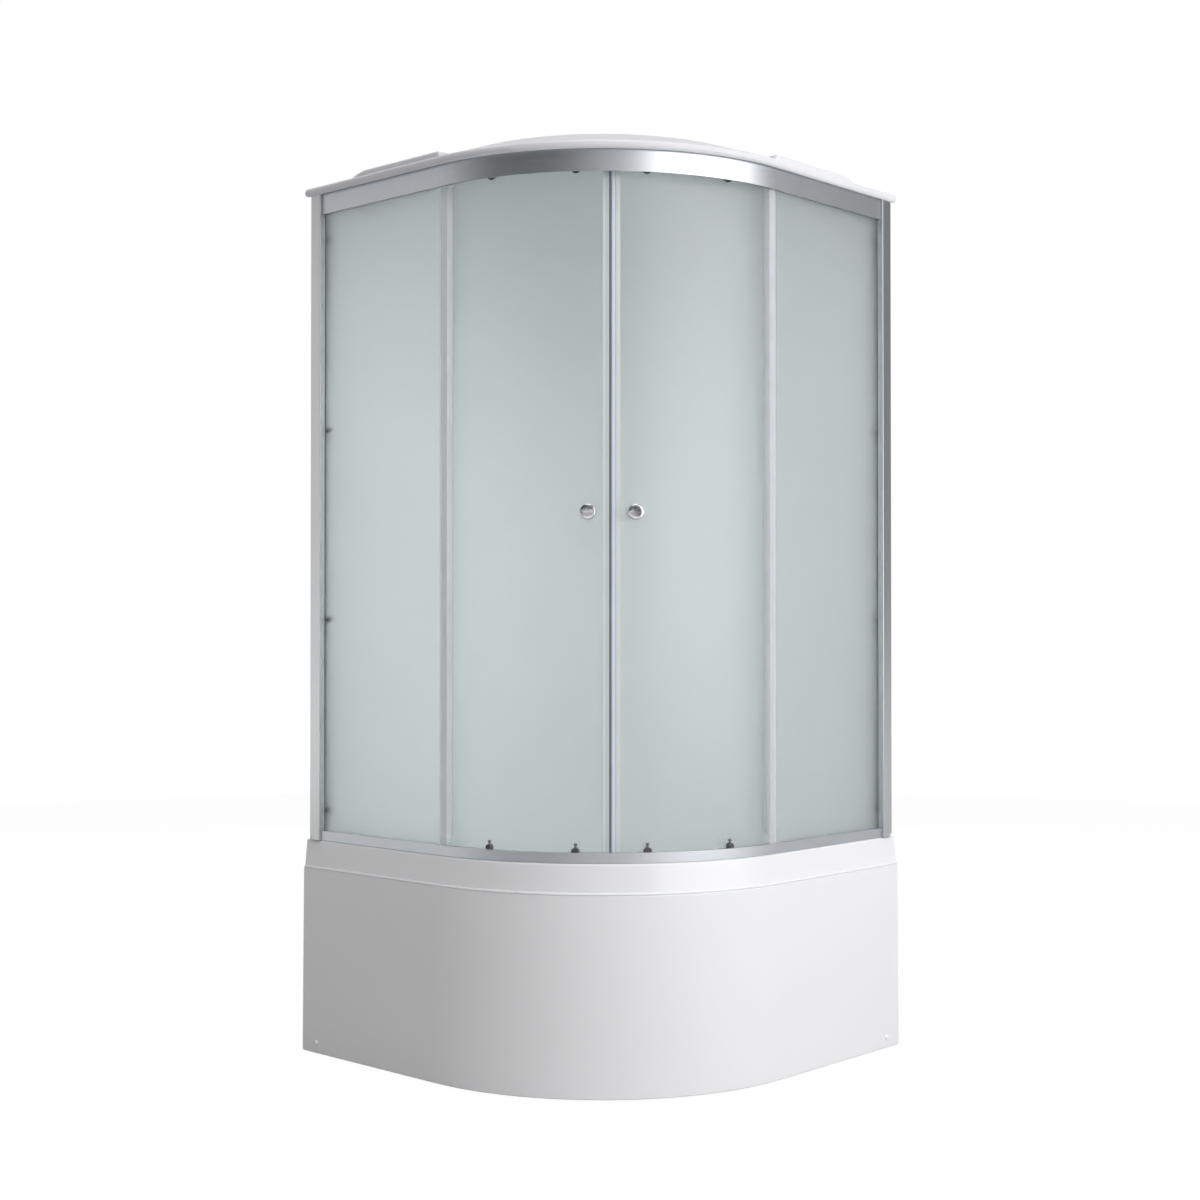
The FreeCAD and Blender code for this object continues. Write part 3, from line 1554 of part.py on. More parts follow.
def make_top_carriage(name, angle):
    """Plate on the glass with the wheel's axle at its head and its bolt at its foot."""
    body = new_body(name, angle)
    half = S.carriage_radius
    arc = (half, 1)
    pad(body, f"{name}_plate", [[
        (0, carriage_screw_height - half, arc),
        (half, carriage_screw_height, arc),
        (half, top_axle_height),
        (0, top_axle_height + half, arc),
        (-half, top_axle_height, arc),
        (-half, carriage_screw_height),
    ]], carriage_back, S.carriage_sheet, "YZ_Plane")
    axle = S.side_gap * 2 + S.top_wheel_width
    add_axle(body, name, top_axle_height, S.top_axle_radius, axle)
    cap_start = door_inner - S.seat_gap - S.carriage_cap_height
    bolt = carriage_back - cap_start
    pad(body, f"{name}_bolt", [(0, carriage_screw_height, S.carriage_screw_radius)], cap_start, bolt,
        "YZ_Plane")
    pad(body, f"{name}_cap", [(0, carriage_screw_height, S.carriage_cap_radius)], cap_start,
        S.carriage_cap_height, "YZ_Plane")
    return body


def add_axle(body, name, height, radius, length):
    """Axle that stands out from a carriage's plate, with its riveted head."""
    pad(body, f"{name}_axle", [(0, height, radius)], carriage_front, length, "YZ_Plane")
    pad(body, f"{name}_axle_head", [(0, height, radius + S.axle_head)], carriage_front + length,
        S.axle_head_height, "YZ_Plane")


def make_bottom_carriage(name, angle):
    """Housing with a domed top for the release pin, and two ears bolted through the glass."""
    body = new_body(name, angle)
    half = S.housing_half_width
    low = rim_top + S.housing_low
    spring_line = low + S.housing_straight
    arc = (half, 1)
    pad(body, f"{name}_housing", [[
        (-half, low),
        (half, low),
        (half, spring_line),
        (0, spring_line + half, arc),
        (-half, spring_line, arc),
    ]], carriage_back, S.housing_reach, "YZ_Plane")
    slot = S.slider_half_width + S.slide_gap
    ear_low = rim_top + S.ear_low
    ear_high = rim_top + S.ear_high
    neck_high = low + S.ear_lap
    ear = [
        (slot, ear_low),
        (S.ear_width, ear_low),
        (S.ear_width, ear_high),
        (half, ear_high),
        (half, neck_high),
        (slot, neck_high),
    ]
    other_ear = [(-along, height) for along, height in ear]
    pad(body, f"{name}_ears", [ear, other_ear], carriage_back, S.carriage_sheet, "YZ_Plane")
    cavity = block(-slot, slot, low - S.overrun, low + S.housing_roof)
    reach = S.pin_reach + S.pin_radius + S.slide_gap
    pocket(body, f"{name}_cavity", [cavity], carriage_back - S.overrun, reach + S.overrun, "YZ_Plane")
    bore(body, f"{name}_pin_bore", carriage_back + S.pin_reach, 0, low, turned(0),
         S.pin_radius + S.running_fit, S.pin_top)
    height = rim_top + S.ear_screw_height
    cap_start = door_inner - S.seat_gap - S.carriage_cap_height
    spots = (-S.ear_screw_along, S.ear_screw_along)
    pad(body, f"{name}_bolts", [(along, height, S.ear_screw_radius) for along in spots], cap_start,
        carriage_back - cap_start, "YZ_Plane")
    pad(body, f"{name}_caps", [(along, height, S.ear_cap_radius) for along in spots], cap_start,
        S.carriage_cap_height, "YZ_Plane")
    return body


def make_release_pin(name, angle):
    """Sprung pin and slider that carry a bottom wheel's axle."""
    body = new_body(name, angle)
    half = S.slider_half_width
    back = carriage_back + S.seat_gap
    sheet = S.carriage_sheet - S.seat_gap
    bridge_high = rim_top + S.housing_low + S.housing_roof - S.roll_gap
    bridge_low = bridge_high - S.slider_bridge
    pad(body, f"{name}_slider", [block(-half, half, rim_top + S.slider_low, bridge_high)], back, sheet,
        "YZ_Plane")
    pad(body, f"{name}_bridge", [block(-half, half, bridge_low, bridge_high)], back,
        S.pin_reach + S.pin_radius - S.seat_gap, "YZ_Plane")
    pad(body, f"{name}_pin", [(carriage_back + S.pin_reach, 0, S.pin_radius)], bridge_low,
        rim_top + S.pin_top - bridge_low)
    add_axle(body, name, bottom_axle_height, S.bottom_axle_radius,
             S.side_gap * 2 + S.bottom_wheel_width)
    return keep(body)


def make_wheel(name, angle, reach, height, radius, width, axle):
    """Wheel turned about its own Z, with a shallow lip on each side of its tread."""
    wheel = loose_body(name)
    lip = S.wheel_lip
    hub = axle + S.running_fit
    revolve(wheel, f"{name}_turning", [
        (hub, 0),
        (radius - lip, 0),
        (radius, lip),
        (radius, width - lip),
        (radius - lip, width),
        (hub, width),
    ])
    place(wheel, *polar(reach, angle), height, facing_out(angle))
    return keep(wheel)


def write_parts():
    doc.recompute()
    failed = [item.Label for item in doc.Objects if {"Invalid", "Error"} & set(item.State)]
    if failed:
        raise RuntimeError(f"failed: {', '.join(failed)}")
    os.makedirs("parts", exist_ok=True)
    for node in nodes:
        if node.Shape.isNull() or not node.Shape.isValid():
            raise RuntimeError(f"{node.Label}: bad shape")
        node.Shape.exportStep(f"parts/{node.Label}.step")
        print(f"{node.Label}: {len(node.Shape.Solids)} solids, {node.Shape.Volume / 1000:.1f} cm3")


def make_door(name, hand):
    make_door_glass(name, hand)
    make_door_seals(name, hand)
    make_knob(name, hand)
    top_carriages = []
    bottom_carriages = []
    wheel_back = carriage_front + S.side_gap
    for spot, offset in ROLLERS.items():
        angle = roller_angle(hand, offset)
        prefix = f"{name}_{spot}"
        top_carriages.append(make_top_carriage(f"{prefix}_top_carriage", angle))
        bottom_carriages.append(make_bottom_carriage(f"{prefix}_bottom_carriage", angle))
        make_release_pin(f"{prefix}_release_pin", angle)
        make_wheel(f"{prefix}_top_wheel", angle, wheel_back, top_axle_height, S.top_wheel_radius,
                   S.top_wheel_width, S.top_axle_radius)
        make_wheel(f"{prefix}_bottom_wheel", angle, wheel_back, bottom_axle_height,
                   S.bottom_wheel_radius, S.bottom_wheel_width, S.bottom_axle_radius)
    group(f"{name}_top_carriages", top_carriages)
    group(f"{name}_bottom_carriages", bottom_carriages)


def make_door_stops():
    """Rubber blocks at the ends of the top rail's track."""
    stops = []
    for name, hand in HANDS.items():
        body = new_body(f"{name}_door_stop", roller_angle(hand, S.stop_angle))
        shape = block(track_inner, track_inner + S.top_wheel_width, 0, S.stop_length)
        pad(body, f"{name}_stop_block", [mirrored(shape, hand)], ledge_top, S.stop_height)
        stops.append(body)
    group("door_stops", stops)


make_tray()
make_apron()
make_apron_fixings()
make_frame()
make_feet()
make_drain()
make_rails()
make_end_blocks()
make_door_stops()
make_back_walls()
make_roof()
make_roof_screws()
for side_name, side_hand in HANDS.items():
    make_post(side_name, side_hand)
    make_fixed_side(side_name, side_hand)
    make_door(side_name, side_hand)
write_parts()
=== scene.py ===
import logging
import math
from collections.abc import Callable, Sequence
from dataclasses import dataclass
from enum import Enum

import bpy
from mathutils import Matrix, Vector


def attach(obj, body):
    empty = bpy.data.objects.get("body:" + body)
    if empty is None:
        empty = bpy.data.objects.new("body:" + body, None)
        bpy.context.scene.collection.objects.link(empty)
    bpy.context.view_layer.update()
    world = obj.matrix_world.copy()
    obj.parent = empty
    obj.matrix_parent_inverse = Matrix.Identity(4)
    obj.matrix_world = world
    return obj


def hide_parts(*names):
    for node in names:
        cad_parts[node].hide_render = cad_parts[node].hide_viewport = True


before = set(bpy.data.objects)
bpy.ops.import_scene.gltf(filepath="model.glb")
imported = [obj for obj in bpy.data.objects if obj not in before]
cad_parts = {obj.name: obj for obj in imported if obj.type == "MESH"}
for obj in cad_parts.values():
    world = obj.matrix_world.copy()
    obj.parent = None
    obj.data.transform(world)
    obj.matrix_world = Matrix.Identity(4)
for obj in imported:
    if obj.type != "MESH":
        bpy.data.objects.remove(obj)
log = logging.getLogger("shower_cabin")

SPOTS: tuple[str, ...] = ("front", "rear")
FEET: tuple[str, ...] = ("foot_back", "foot_left", "foot_right", "foot_front", "foot_middle")
BEND_AXIS = Vector((-0.035, 0.035, 0.0))
TO_CAMERA = Vector((1.0, -1.0, 0.0)).normalized()
TO_RIGHT = Vector((1.0, 1.0, 0.0)).normalized()
UP = Vector((0.0, 0.0, 1.0))
MM = 0.001
MERGE_DISTANCE = 0.000002
LEAST_ROUGHNESS = 0.02
NOISE_DETAIL = 3.0
NOISE_ROUGHNESS = 0.55
NODE_SPACING = 180

Colour = tuple[float, float, float]
Point = tuple[float, float, float]
Span = tuple[float, float]
Step = tuple[float, float]
Value = bpy.types.NodeSocket | float


class Hand(Enum):
    """Side of the cabin as the camera sees it."""

    LEFT = -1
    RIGHT = 1

    @property
    def word(self) -> str:
        """The side's name, as the nodes and bodies spell it."""
        return self.name.lower()

    def node(self, kind: str) -> str:
        """Name of one of this side's nodes."""
        return f"{self.word}_{kind}"


class Graph:
    """Adds and links the nodes of one shader tree."""

    def __init__(self, tree: bpy.types.NodeTree) -> None:
        """Keep the tree that the nodes go into.

        Args:
            tree: Node tree of a material, world or group.
        """
        self.tree = tree
        self.column = 0

    def add(self, kind: str, **settings: object) -> bpy.types.Node:
        """Add a node and set its properties and plain socket values.

        Args:
            kind: Node type without the ShaderNode prefix.
            settings: Node attributes, or input names with _ for spaces.

        Returns:
            The new node.
        """
        name = kind if kind.startswith("Node") else f"ShaderNode{kind}"
        node = self.tree.nodes.new(name)
        node.location = (self.column * NODE_SPACING, 0)
        self.column += 1
        for key, value in settings.items():
            if hasattr(node, key):
                setattr(node, key, value)
            else:
                node.inputs[key.replace("_", " ")].default_value = value
        return node

    def link(self, source: bpy.types.NodeSocket, target: bpy.types.NodeSocket) -> None:
        """Join two sockets."""
        self.tree.links.new(source, target)

    def ramp(self, source: bpy.types.NodeSocket, span: Span, values: Span) -> bpy.types.NodeSocket:
        """Map a value from one span to another.

        Args:
            source: Socket that gives the value.
            span: Values at which the ramp starts and ends.
            values: What it gives there.

        Returns:
            The mapped value's socket.
        """
        node = self.add("MapRange", From_Min=span[0], From_Max=span[1], To_Min=values[0], To_Max=values[1])
        self.link(source, node.inputs["Value"])
        return node.outputs["Result"]

    def feed(self, target: bpy.types.NodeSocket, value: Value) -> None:
        """Give a socket a plain number or the output of another node.

        Args:
            target: Socket that takes the value.
            value: The number or output.
        """
        if isinstance(value, float):
            target.default_value = value
        else:
            self.link(value, target)

    def combine(self, operation: str, *values: Value) -> bpy.types.NodeSocket:
        """Work out a value from others.

        Args:
            operation: Name of the operation.
            values: Sockets or plain numbers, in the order that the operation takes them.

        Returns:
            The result's socket.
        """
        node = self.add("Math", operation=operation)
        for target, value in zip(node.inputs, values):
            self.feed(target, value)
        return node.outputs[0]

    def blend(self, share: bpy.types.NodeSocket, low: Value, high: Value) -> bpy.types.NodeSocket:
        """Go from one value to another.

        Args:
            share: Socket that gives the share of the second value.
            low: First value.
            high: Second value.

        Returns:
            The blended value's socket.
        """
        node = self.add("Mix", data_type="FLOAT")
        self.link(share, node.inputs["Factor"])
        self.feed(node.inputs["A"], low)
        self.feed(node.inputs["B"], high)
        return node.outputs["Result"]

    def lean(self, source: bpy.types.NodeSocket, direction: Vector) -> bpy.types.NodeSocket:
        """How far a vector points along a fixed direction.

        Args:
            source: Socket that gives the vector.
            direction: The fixed direction.

        Returns:
            The value's socket.
        """
        node = self.add("VectorMath", operation="DOT_PRODUCT")
        node.inputs[1].default_value = direction
        self.link(source, node.inputs[0])
        return node.outputs["Value"]


def group_sockets(
    tree: bpy.types.NodeTree, inputs: dict[str, tuple[str, object]], outputs: dict[str, str]
) -> tuple[bpy.types.Node, bpy.types.Node]:
    """Give a node group its named sockets.

    Args:
        tree: The group's tree.
        inputs: Socket name to its short type and default value.
        outputs: Socket name to its short type.

    Returns:
        The group's input and output nodes.
    """
    for name, (kind, value) in inputs.items():
        socket = tree.interface.new_socket(name=name, in_out="INPUT", socket_type=f"NodeSocket{kind}")
        socket.default_value = value
    for name, kind in outputs.items():
        tree.interface.new_socket(name=name, in_out="OUTPUT", socket_type=f"NodeSocket{kind}")
    graph = Graph(tree)
    return graph.add("NodeGroupInput"), graph.add("NodeGroupOutput")


class Grain(Enum):
    """Which way a finish's texture runs, as a stretch of its noise."""

    EVEN = (1.0, 1.0, 1.0)
    ALONG_RAIL = (0.35, 0.35, 1.0)
    ALONG_POST = (1.0, 1.0, 0.05)


@dataclass(frozen=True)
class Finish:
    """One surface finish and the values of its shader."""

    name: str
    colour: Colour
    tint: Colour
    roughness: float
    rough_spread: float = 0.06
    metallic: float = 0.0
    transmission: float = 0.0
    coat: float = 0.0
    coat_roughness: float = 0.03
    alpha: float = 1.0
    ior: float = 1.5
    grain: Grain = Grain.EVEN
    broad_scale: float = 3.0
    fine_scale: float = 400.0
    bump: float = 0.05
    bump_distance: float = 0.0002

    def material(self, mottle: bpy.types.NodeTree) -> bpy.types.Material:
        """Build the finish's node material.

        Args:
            mottle: The shared noise group.

        Returns:
            The material.
        """
        made = bpy.data.materials.new(self.name)
        made.use_nodes = True
        tree = made.node_tree
        tree.nodes.clear()
        graph = Graph(tree)
        noise = graph.add("Group", node_tree=mottle)
        noise.inputs["Broad Scale"].default_value = self.broad_scale
        noise.inputs["Fine Scale"].default_value = self.fine_scale
        noise.inputs["Stretch"].default_value = self.grain.value
        tone = graph.add("Mix", data_type="RGBA")
        tone.inputs["A"].default_value = (*self.colour, 1.0)
        tone.inputs["B"].default_value = (*self.tint, 1.0)
        graph.link(noise.outputs["Broad"], tone.inputs["Factor"])
        least = max(self.roughness - self.rough_spread, LEAST_ROUGHNESS)
        most = min(self.roughness + self.rough_spread, 1.0)
        rough = graph.ramp(noise.outputs["Fine"], (0.0, 1.0), (least, most))
        relief = graph.add("Bump", Strength=self.bump, Distance=self.bump_distance)
        graph.link(noise.outputs["Fine"], relief.inputs["Height"])
        shader = graph.add("BsdfPrincipled", Metallic=self.metallic, IOR=self.ior)
        shader.inputs["Transmission Weight"].default_value = self.transmission
        shader.inputs["Coat Weight"].default_value = self.coat
        shader.inputs["Coat Roughness"].default_value = self.coat_roughness
        shader.inputs["Alpha"].default_value = self.alpha
        graph.link(tone.outputs["Result"], shader.inputs["Base Color"])
        graph.link(rough, shader.inputs["Roughness"])
        graph.link(relief.outputs["Normal"], shader.inputs["Normal"])
        out = graph.add("OutputMaterial")
        graph.link(shader.outputs["BSDF"], out.inputs["Surface"])
        return made


WHITE_ACRYLIC = Finish("white_acrylic", (0.87, 0.87, 0.885), (0.84, 0.84, 0.855), 0.22, 0.04, broad_scale=1.2,
                       fine_scale=90.0, bump=0.02)
# Painted shade: the roof is the same white acrylic as the tray, with its colour lowered so that the roof
# reads darker than its light makes it.
SHADED_ROOF_ACRYLIC = Finish("roof_acrylic_painted_shade", (0.775, 0.775, 0.805), (0.745, 0.745, 0.775), 0.45, 0.04, ior=1.35,
                      broad_scale=1.2, fine_scale=90.0, bump=0.02)
RAIL_ALUMINIUM = Finish("rail_aluminium", (0.60, 0.625, 0.66), (0.55, 0.572, 0.605), 0.38, 0.10, metallic=1.0,
                        grain=Grain.ALONG_RAIL, broad_scale=90.0, fine_scale=420.0, bump=0.22)
POST_ALUMINIUM = Finish("post_aluminium", (0.58, 0.59, 0.60), (0.54, 0.55, 0.56), 0.30, 0.05, metallic=1.0,
                        grain=Grain.ALONG_POST, broad_scale=90.0, fine_scale=900.0, bump=0.04)
FROSTED_GLASS = Finish("frosted_glass", (0.945, 0.99, 0.98), (0.93, 0.98, 0.97), 0.55, 0.04, transmission=1.0,
                       coat=0.25, coat_roughness=0.25, broad_scale=2.0, fine_scale=1500.0, bump=0.03)
CLEAR_SEAL = Finish("clear_seal", (0.84, 0.88, 0.885), (0.80, 0.85, 0.855), 0.3, 0.05, alpha=0.08,
                    broad_scale=20.0)
MILKY_SEAL = Finish("milky_seal", (0.93, 0.93, 0.965), (0.91, 0.91, 0.945), 0.3, 0.04, alpha=0.3,
                    broad_scale=4.0, bump=0.0)
FLANGE_SEAL = Finish("flange_seal", (0.70, 0.765, 0.76), (0.66, 0.73, 0.725), 0.35, 0.06, broad_scale=20.0)
GREY_SEAL = Finish("grey_seal", (0.60, 0.65, 0.67), (0.55, 0.60, 0.62), 0.35, 0.06, broad_scale=20.0)
DARK_SEAL = Finish("dark_seal", (0.17, 0.19, 0.22), (0.14, 0.16, 0.19), 0.4, 0.06, broad_scale=20.0)
PALE_SEAL = Finish("pale_seal", (0.72, 0.77, 0.86), (0.68, 0.735, 0.83), 0.35, 0.06, broad_scale=20.0)
GROOVE_SEAL = Finish("groove_seal", (0.40, 0.44, 0.50), (0.36, 0.40, 0.46), 0.4, 0.06, broad_scale=20.0)
CLEAR_GASKET = Finish("clear_gasket", (0.62, 0.65, 0.66), (0.55, 0.58, 0.59), 0.55, 0.08, broad_scale=15.0)
GREY_RUBBER = Finish("grey_rubber", (0.20, 0.20, 0.21), (0.16, 0.16, 0.17), 0.7, 0.1)
CHROME = Finish("bright_chrome", (0.64, 0.65, 0.67), (0.59, 0.60, 0.62), 0.15, 0.04, metallic=1.0,
                broad_scale=30.0, bump=0.03)
FRAME_PAINT = Finish("frame_paint", (0.70, 0.70, 0.70), (0.62, 0.62, 0.62), 0.45)
ZINC_STEEL = Finish("zinc_steel", (0.60, 0.61, 0.62), (0.48, 0.49, 0.50), 0.35, 0.1, metallic=1.0,
                    broad_scale=60.0)
CAP_WHITE = Finish("cap_white", (0.95, 0.95, 0.95), (0.92, 0.92, 0.92), 0.25)
WHITE_PLASTIC = Finish("white_plastic", (0.84, 0.84, 0.84), (0.78, 0.78, 0.78), 0.45)
DARK_PLASTIC = Finish("dark_plastic", (0.10, 0.10, 0.105), (0.07, 0.07, 0.075), 0.35)
NYLON = Finish("nylon", (0.80, 0.80, 0.78), (0.72, 0.72, 0.70), 0.5)
PIN_STEEL = Finish("pin_steel", (0.22, 0.225, 0.235), (0.17, 0.175, 0.185), 0.3, 0.08, metallic=1.0,
                   broad_scale=80.0)


def make_mottle_group() -> bpy.types.NodeTree:
    """Slow and fine noise on Object coordinates, for tone, roughness and height.

    Returns:
        A group with Broad and Fine values from 0 to 1.
    """
    tree = bpy.data.node_groups.new("surface_mottle", "ShaderNodeTree")
    inputs = {
        "Broad Scale": ("Float", Finish.broad_scale),
        "Fine Scale": ("Float", Finish.fine_scale),
        "Stretch": ("Vector", Grain.EVEN.value),
    }
    entry, leave = group_sockets(tree, inputs, {"Broad": "Float", "Fine": "Float"})
    graph = Graph(tree)
    where = graph.add("TexCoord")
    stretch = graph.add("VectorMath", operation="MULTIPLY")
    graph.link(where.outputs["Object"], stretch.inputs[0])
    graph.link(entry.outputs["Stretch"], stretch.inputs[1])
    for name in ("Broad", "Fine"):
        noise = graph.add("TexNoise", Detail=NOISE_DETAIL, Roughness=NOISE_ROUGHNESS)
        graph.link(stretch.outputs[0], noise.inputs["Vector"])
        graph.link(entry.outputs[f"{name} Scale"], noise.inputs["Scale"])
        graph.link(noise.outputs["Fac"], leave.inputs[name])
    return tree


class Wardrobe:
    """Makes each finish's material once and puts it on pieces."""

    def __init__(self) -> None:
        """Build the shared noise group."""
        self.mottle = make_mottle_group()
        self.made: dict[str, bpy.types.Material] = {}

    def wear(self, piece: bpy.types.Object, *finishes: Finish) -> None:
        """Give a piece its finishes, one to a material slot.

        Args:
            piece: CAD node or new piece.
            finishes: The finishes, in the order of the slots.
        """
        piece.data.materials.clear()
        for finish in finishes:
            if finish.name not in self.made:
                self.made[finish.name] = finish.material(self.mottle)
            piece.data.materials.append(self.made[finish.name])

    def dress(self, finish: Finish, *names: str) -> None:
        """Give CAD nodes one finish and report them.

        Args:
            finish: The finish to put on.
            names: CAD node names.
        """
        for name in names:
            self.wear(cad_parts[name], finish)
            log.info("%s wears %s", name, finish.name)


class Form(Enum):
    """Outline that a raised piece keeps."""

    ROUND = "round"
    RING = "ring"
    FLAT = "flat"


def raise_piece(
    name: str, form: Form, steps: Sequence[Step], across: float = 1.0, sides: int = 64
) -> bpy.types.Object:
    """Raise a closed solid along Z, extruding its end face to each step and resizing it there.

    Args:
        name: Piece name.
        form: Round, a ring whose steps come back to the first, or flat with a fixed extent in Y.
        steps: Radius or half width, and the height at which it stands.
        across: Extent in Y of a flat piece.
        sides: Corners of a round piece.

    Returns:
        The piece, selected and in object mode.
    """
    bpy.ops.object.select_all(action="DESELECT")
    reach, height = steps[0]
    if form is Form.FLAT:
        bpy.ops.mesh.primitive_plane_add(size=1.0)
    else:
        fill = "NGON" if form is Form.ROUND else "NOTHING"
        bpy.ops.mesh.primitive_circle_add(vertices=sides, radius=reach, fill_type=fill)
    piece = bpy.context.object
    piece.name = piece.data.name = name
    bpy.ops.object.mode_set(mode="EDIT")
    # An open ring has no face, so a face mode left by an earlier piece would select nothing of it.
    bpy.ops.mesh.select_mode(type="VERT")
    bpy.ops.mesh.select_all(action="SELECT")
    if form is Form.FLAT:
        bpy.ops.transform.resize(value=(2 * reach, across, 1.0), center_override=(0, 0, 0))
    bpy.ops.transform.translate(value=(0, 0, height))
    for wide, high in steps[1:]:
        bpy.ops.mesh.extrude_region_move(TRANSFORM_OT_translate={"value": (0, 0, high - height)})
        grown = wide / reach
        deeper = 1.0 if form is Form.FLAT else grown
        bpy.ops.transform.resize(value=(grown, deeper, 1.0), center_override=(0, 0, high))
        reach, height = wide, high
    bpy.ops.object.mode_set(mode="OBJECT")
    return piece


def pick_faces(piece: bpy.types.Object, wanted: Callable[[Vector], bool]) -> None:
    """Select the faces of the active piece that pass a test, and stay in edit mode.

    Args:
        piece: The active piece.
        wanted: Test of a face's centre.
    """
    bpy.ops.object.mode_set(mode="EDIT")
    bpy.ops.mesh.select_mode(type="FACE")
    bpy.ops.mesh.select_all(action="DESELECT")
    bpy.ops.object.mode_set(mode="OBJECT")
    for face in piece.data.polygons:
        face.select = wanted(face.center)
    bpy.ops.object.mode_set(mode="EDIT")


def place_at(origin: Vector, x_axis: Vector, y_axis: Vector, z_axis: Vector) -> Matrix:
    """Matrix from a piece's own millimetres to its place."""
    turned = Matrix((x_axis, y_axis, z_axis)).transposed()
    return Matrix.Translation(origin) @ turned.to_4x4() @ Matrix.Scale(MM, 4)


def settle(piece: bpy.types.Object, place: Matrix, smooth_angle: float) -> None:
    """Put a piece's mesh in its place, close it and shade it.

    Args:
        piece: The active piece.
        place: Where its own frame stands.
        smooth_angle: Edges sharper than this, in degrees, stay crisp.
    """
    piece.data.transform(place)
    bpy.ops.object.mode_set(mode="EDIT")
    bpy.ops.mesh.select_all(action="SELECT")
    bpy.ops.mesh.remove_doubles(threshold=MERGE_DISTANCE)
    bpy.ops.mesh.normals_make_consistent(inside=False)
    bpy.ops.object.mode_set(mode="OBJECT")
    bpy.ops.object.shade_smooth_by_angle(angle=math.radians(smooth_angle))
    log.info("%s built with %d faces", piece.name, len(piece.data.polygons))


@dataclass
class Tray:
    """Deep tray with its apron, frame, feet and drain. Lengths are in millimetres."""

    white: tuple[str, ...] = ("tray_basin", "tray_apron")
    painted: tuple[str, ...] = ("tray_frame", "apron_brackets")
    zinc: tuple[str, ...] = ("apron_screws", "foot_lock_nuts", *FEET)
    plastic: tuple[str, ...] = ("drain_flange", "drain_trap")
    lip_reach: float = 529.6
    lip_height: float = 435.8
    lip_radius: float = 3.2
    lip_end: float = 494.0
    lip_sides: int = 16
    lip_steps: int = 64
    lip_smooth: float = 50.0

    def build_lip(self, wardrobe: Wardrobe) -> None:
        """Draw the apron's rounded top edge along both flanks and round the bend between them.

        Args:
            wardrobe: Source of the materials.
        """
        bpy.ops.object.select_all(action="DESELECT")
        centre = BEND_AXIS + UP * self.lip_height * MM
        start = Vector((-self.lip_end * MM, centre.y - self.lip_reach * MM, centre.z))
        flank = self.lip_end * MM + BEND_AXIS.x
        bpy.ops.mesh.primitive_circle_add(vertices=self.lip_sides, radius=self.lip_radius * MM,
                                          fill_type="NGON", location=start,
                                          rotation=(0.0, math.pi / 2, 0.0))
        piece = bpy.context.object
        piece.name = piece.data.name = "apron_lip"
        bpy.ops.object.transform_apply(location=True, rotation=True, scale=True)
        bpy.ops.object.mode_set(mode="EDIT")
        bpy.ops.mesh.select_all(action="SELECT")
        bpy.ops.mesh.extrude_region_move(TRANSFORM_OT_translate={"value": (flank, 0, 0)})
        bpy.ops.mesh.spin(steps=self.lip_steps, angle=-math.pi / 2, center=centre, axis=(0, 0, 1))
        bpy.ops.mesh.extrude_region_move(TRANSFORM_OT_translate={"value": (0, flank, 0)})
        bpy.ops.object.mode_set(mode="OBJECT")
        settle(piece, Matrix.Identity(4), self.lip_smooth)
        wardrobe.wear(piece, WHITE_ACRYLIC)
        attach(piece, "enclosure")

    def dress(self, wardrobe: Wardrobe) -> None:
        """Put the tray's finishes on and build the apron's lip.

        Args:
            wardrobe: Source of the materials.
        """
        wardrobe.dress(WHITE_ACRYLIC, *self.white)
        wardrobe.dress(FRAME_PAINT, *self.painted)
        wardrobe.dress(ZINC_STEEL, *self.zinc)
        wardrobe.dress(WHITE_PLASTIC, *self.plastic)
        wardrobe.dress(CAP_WHITE, "apron_screw_caps")
        wardrobe.dress(GREY_RUBBER, "drain_gasket")
        wardrobe.dress(CHROME, "drain_cover")
        self.build_lip(wardrobe)


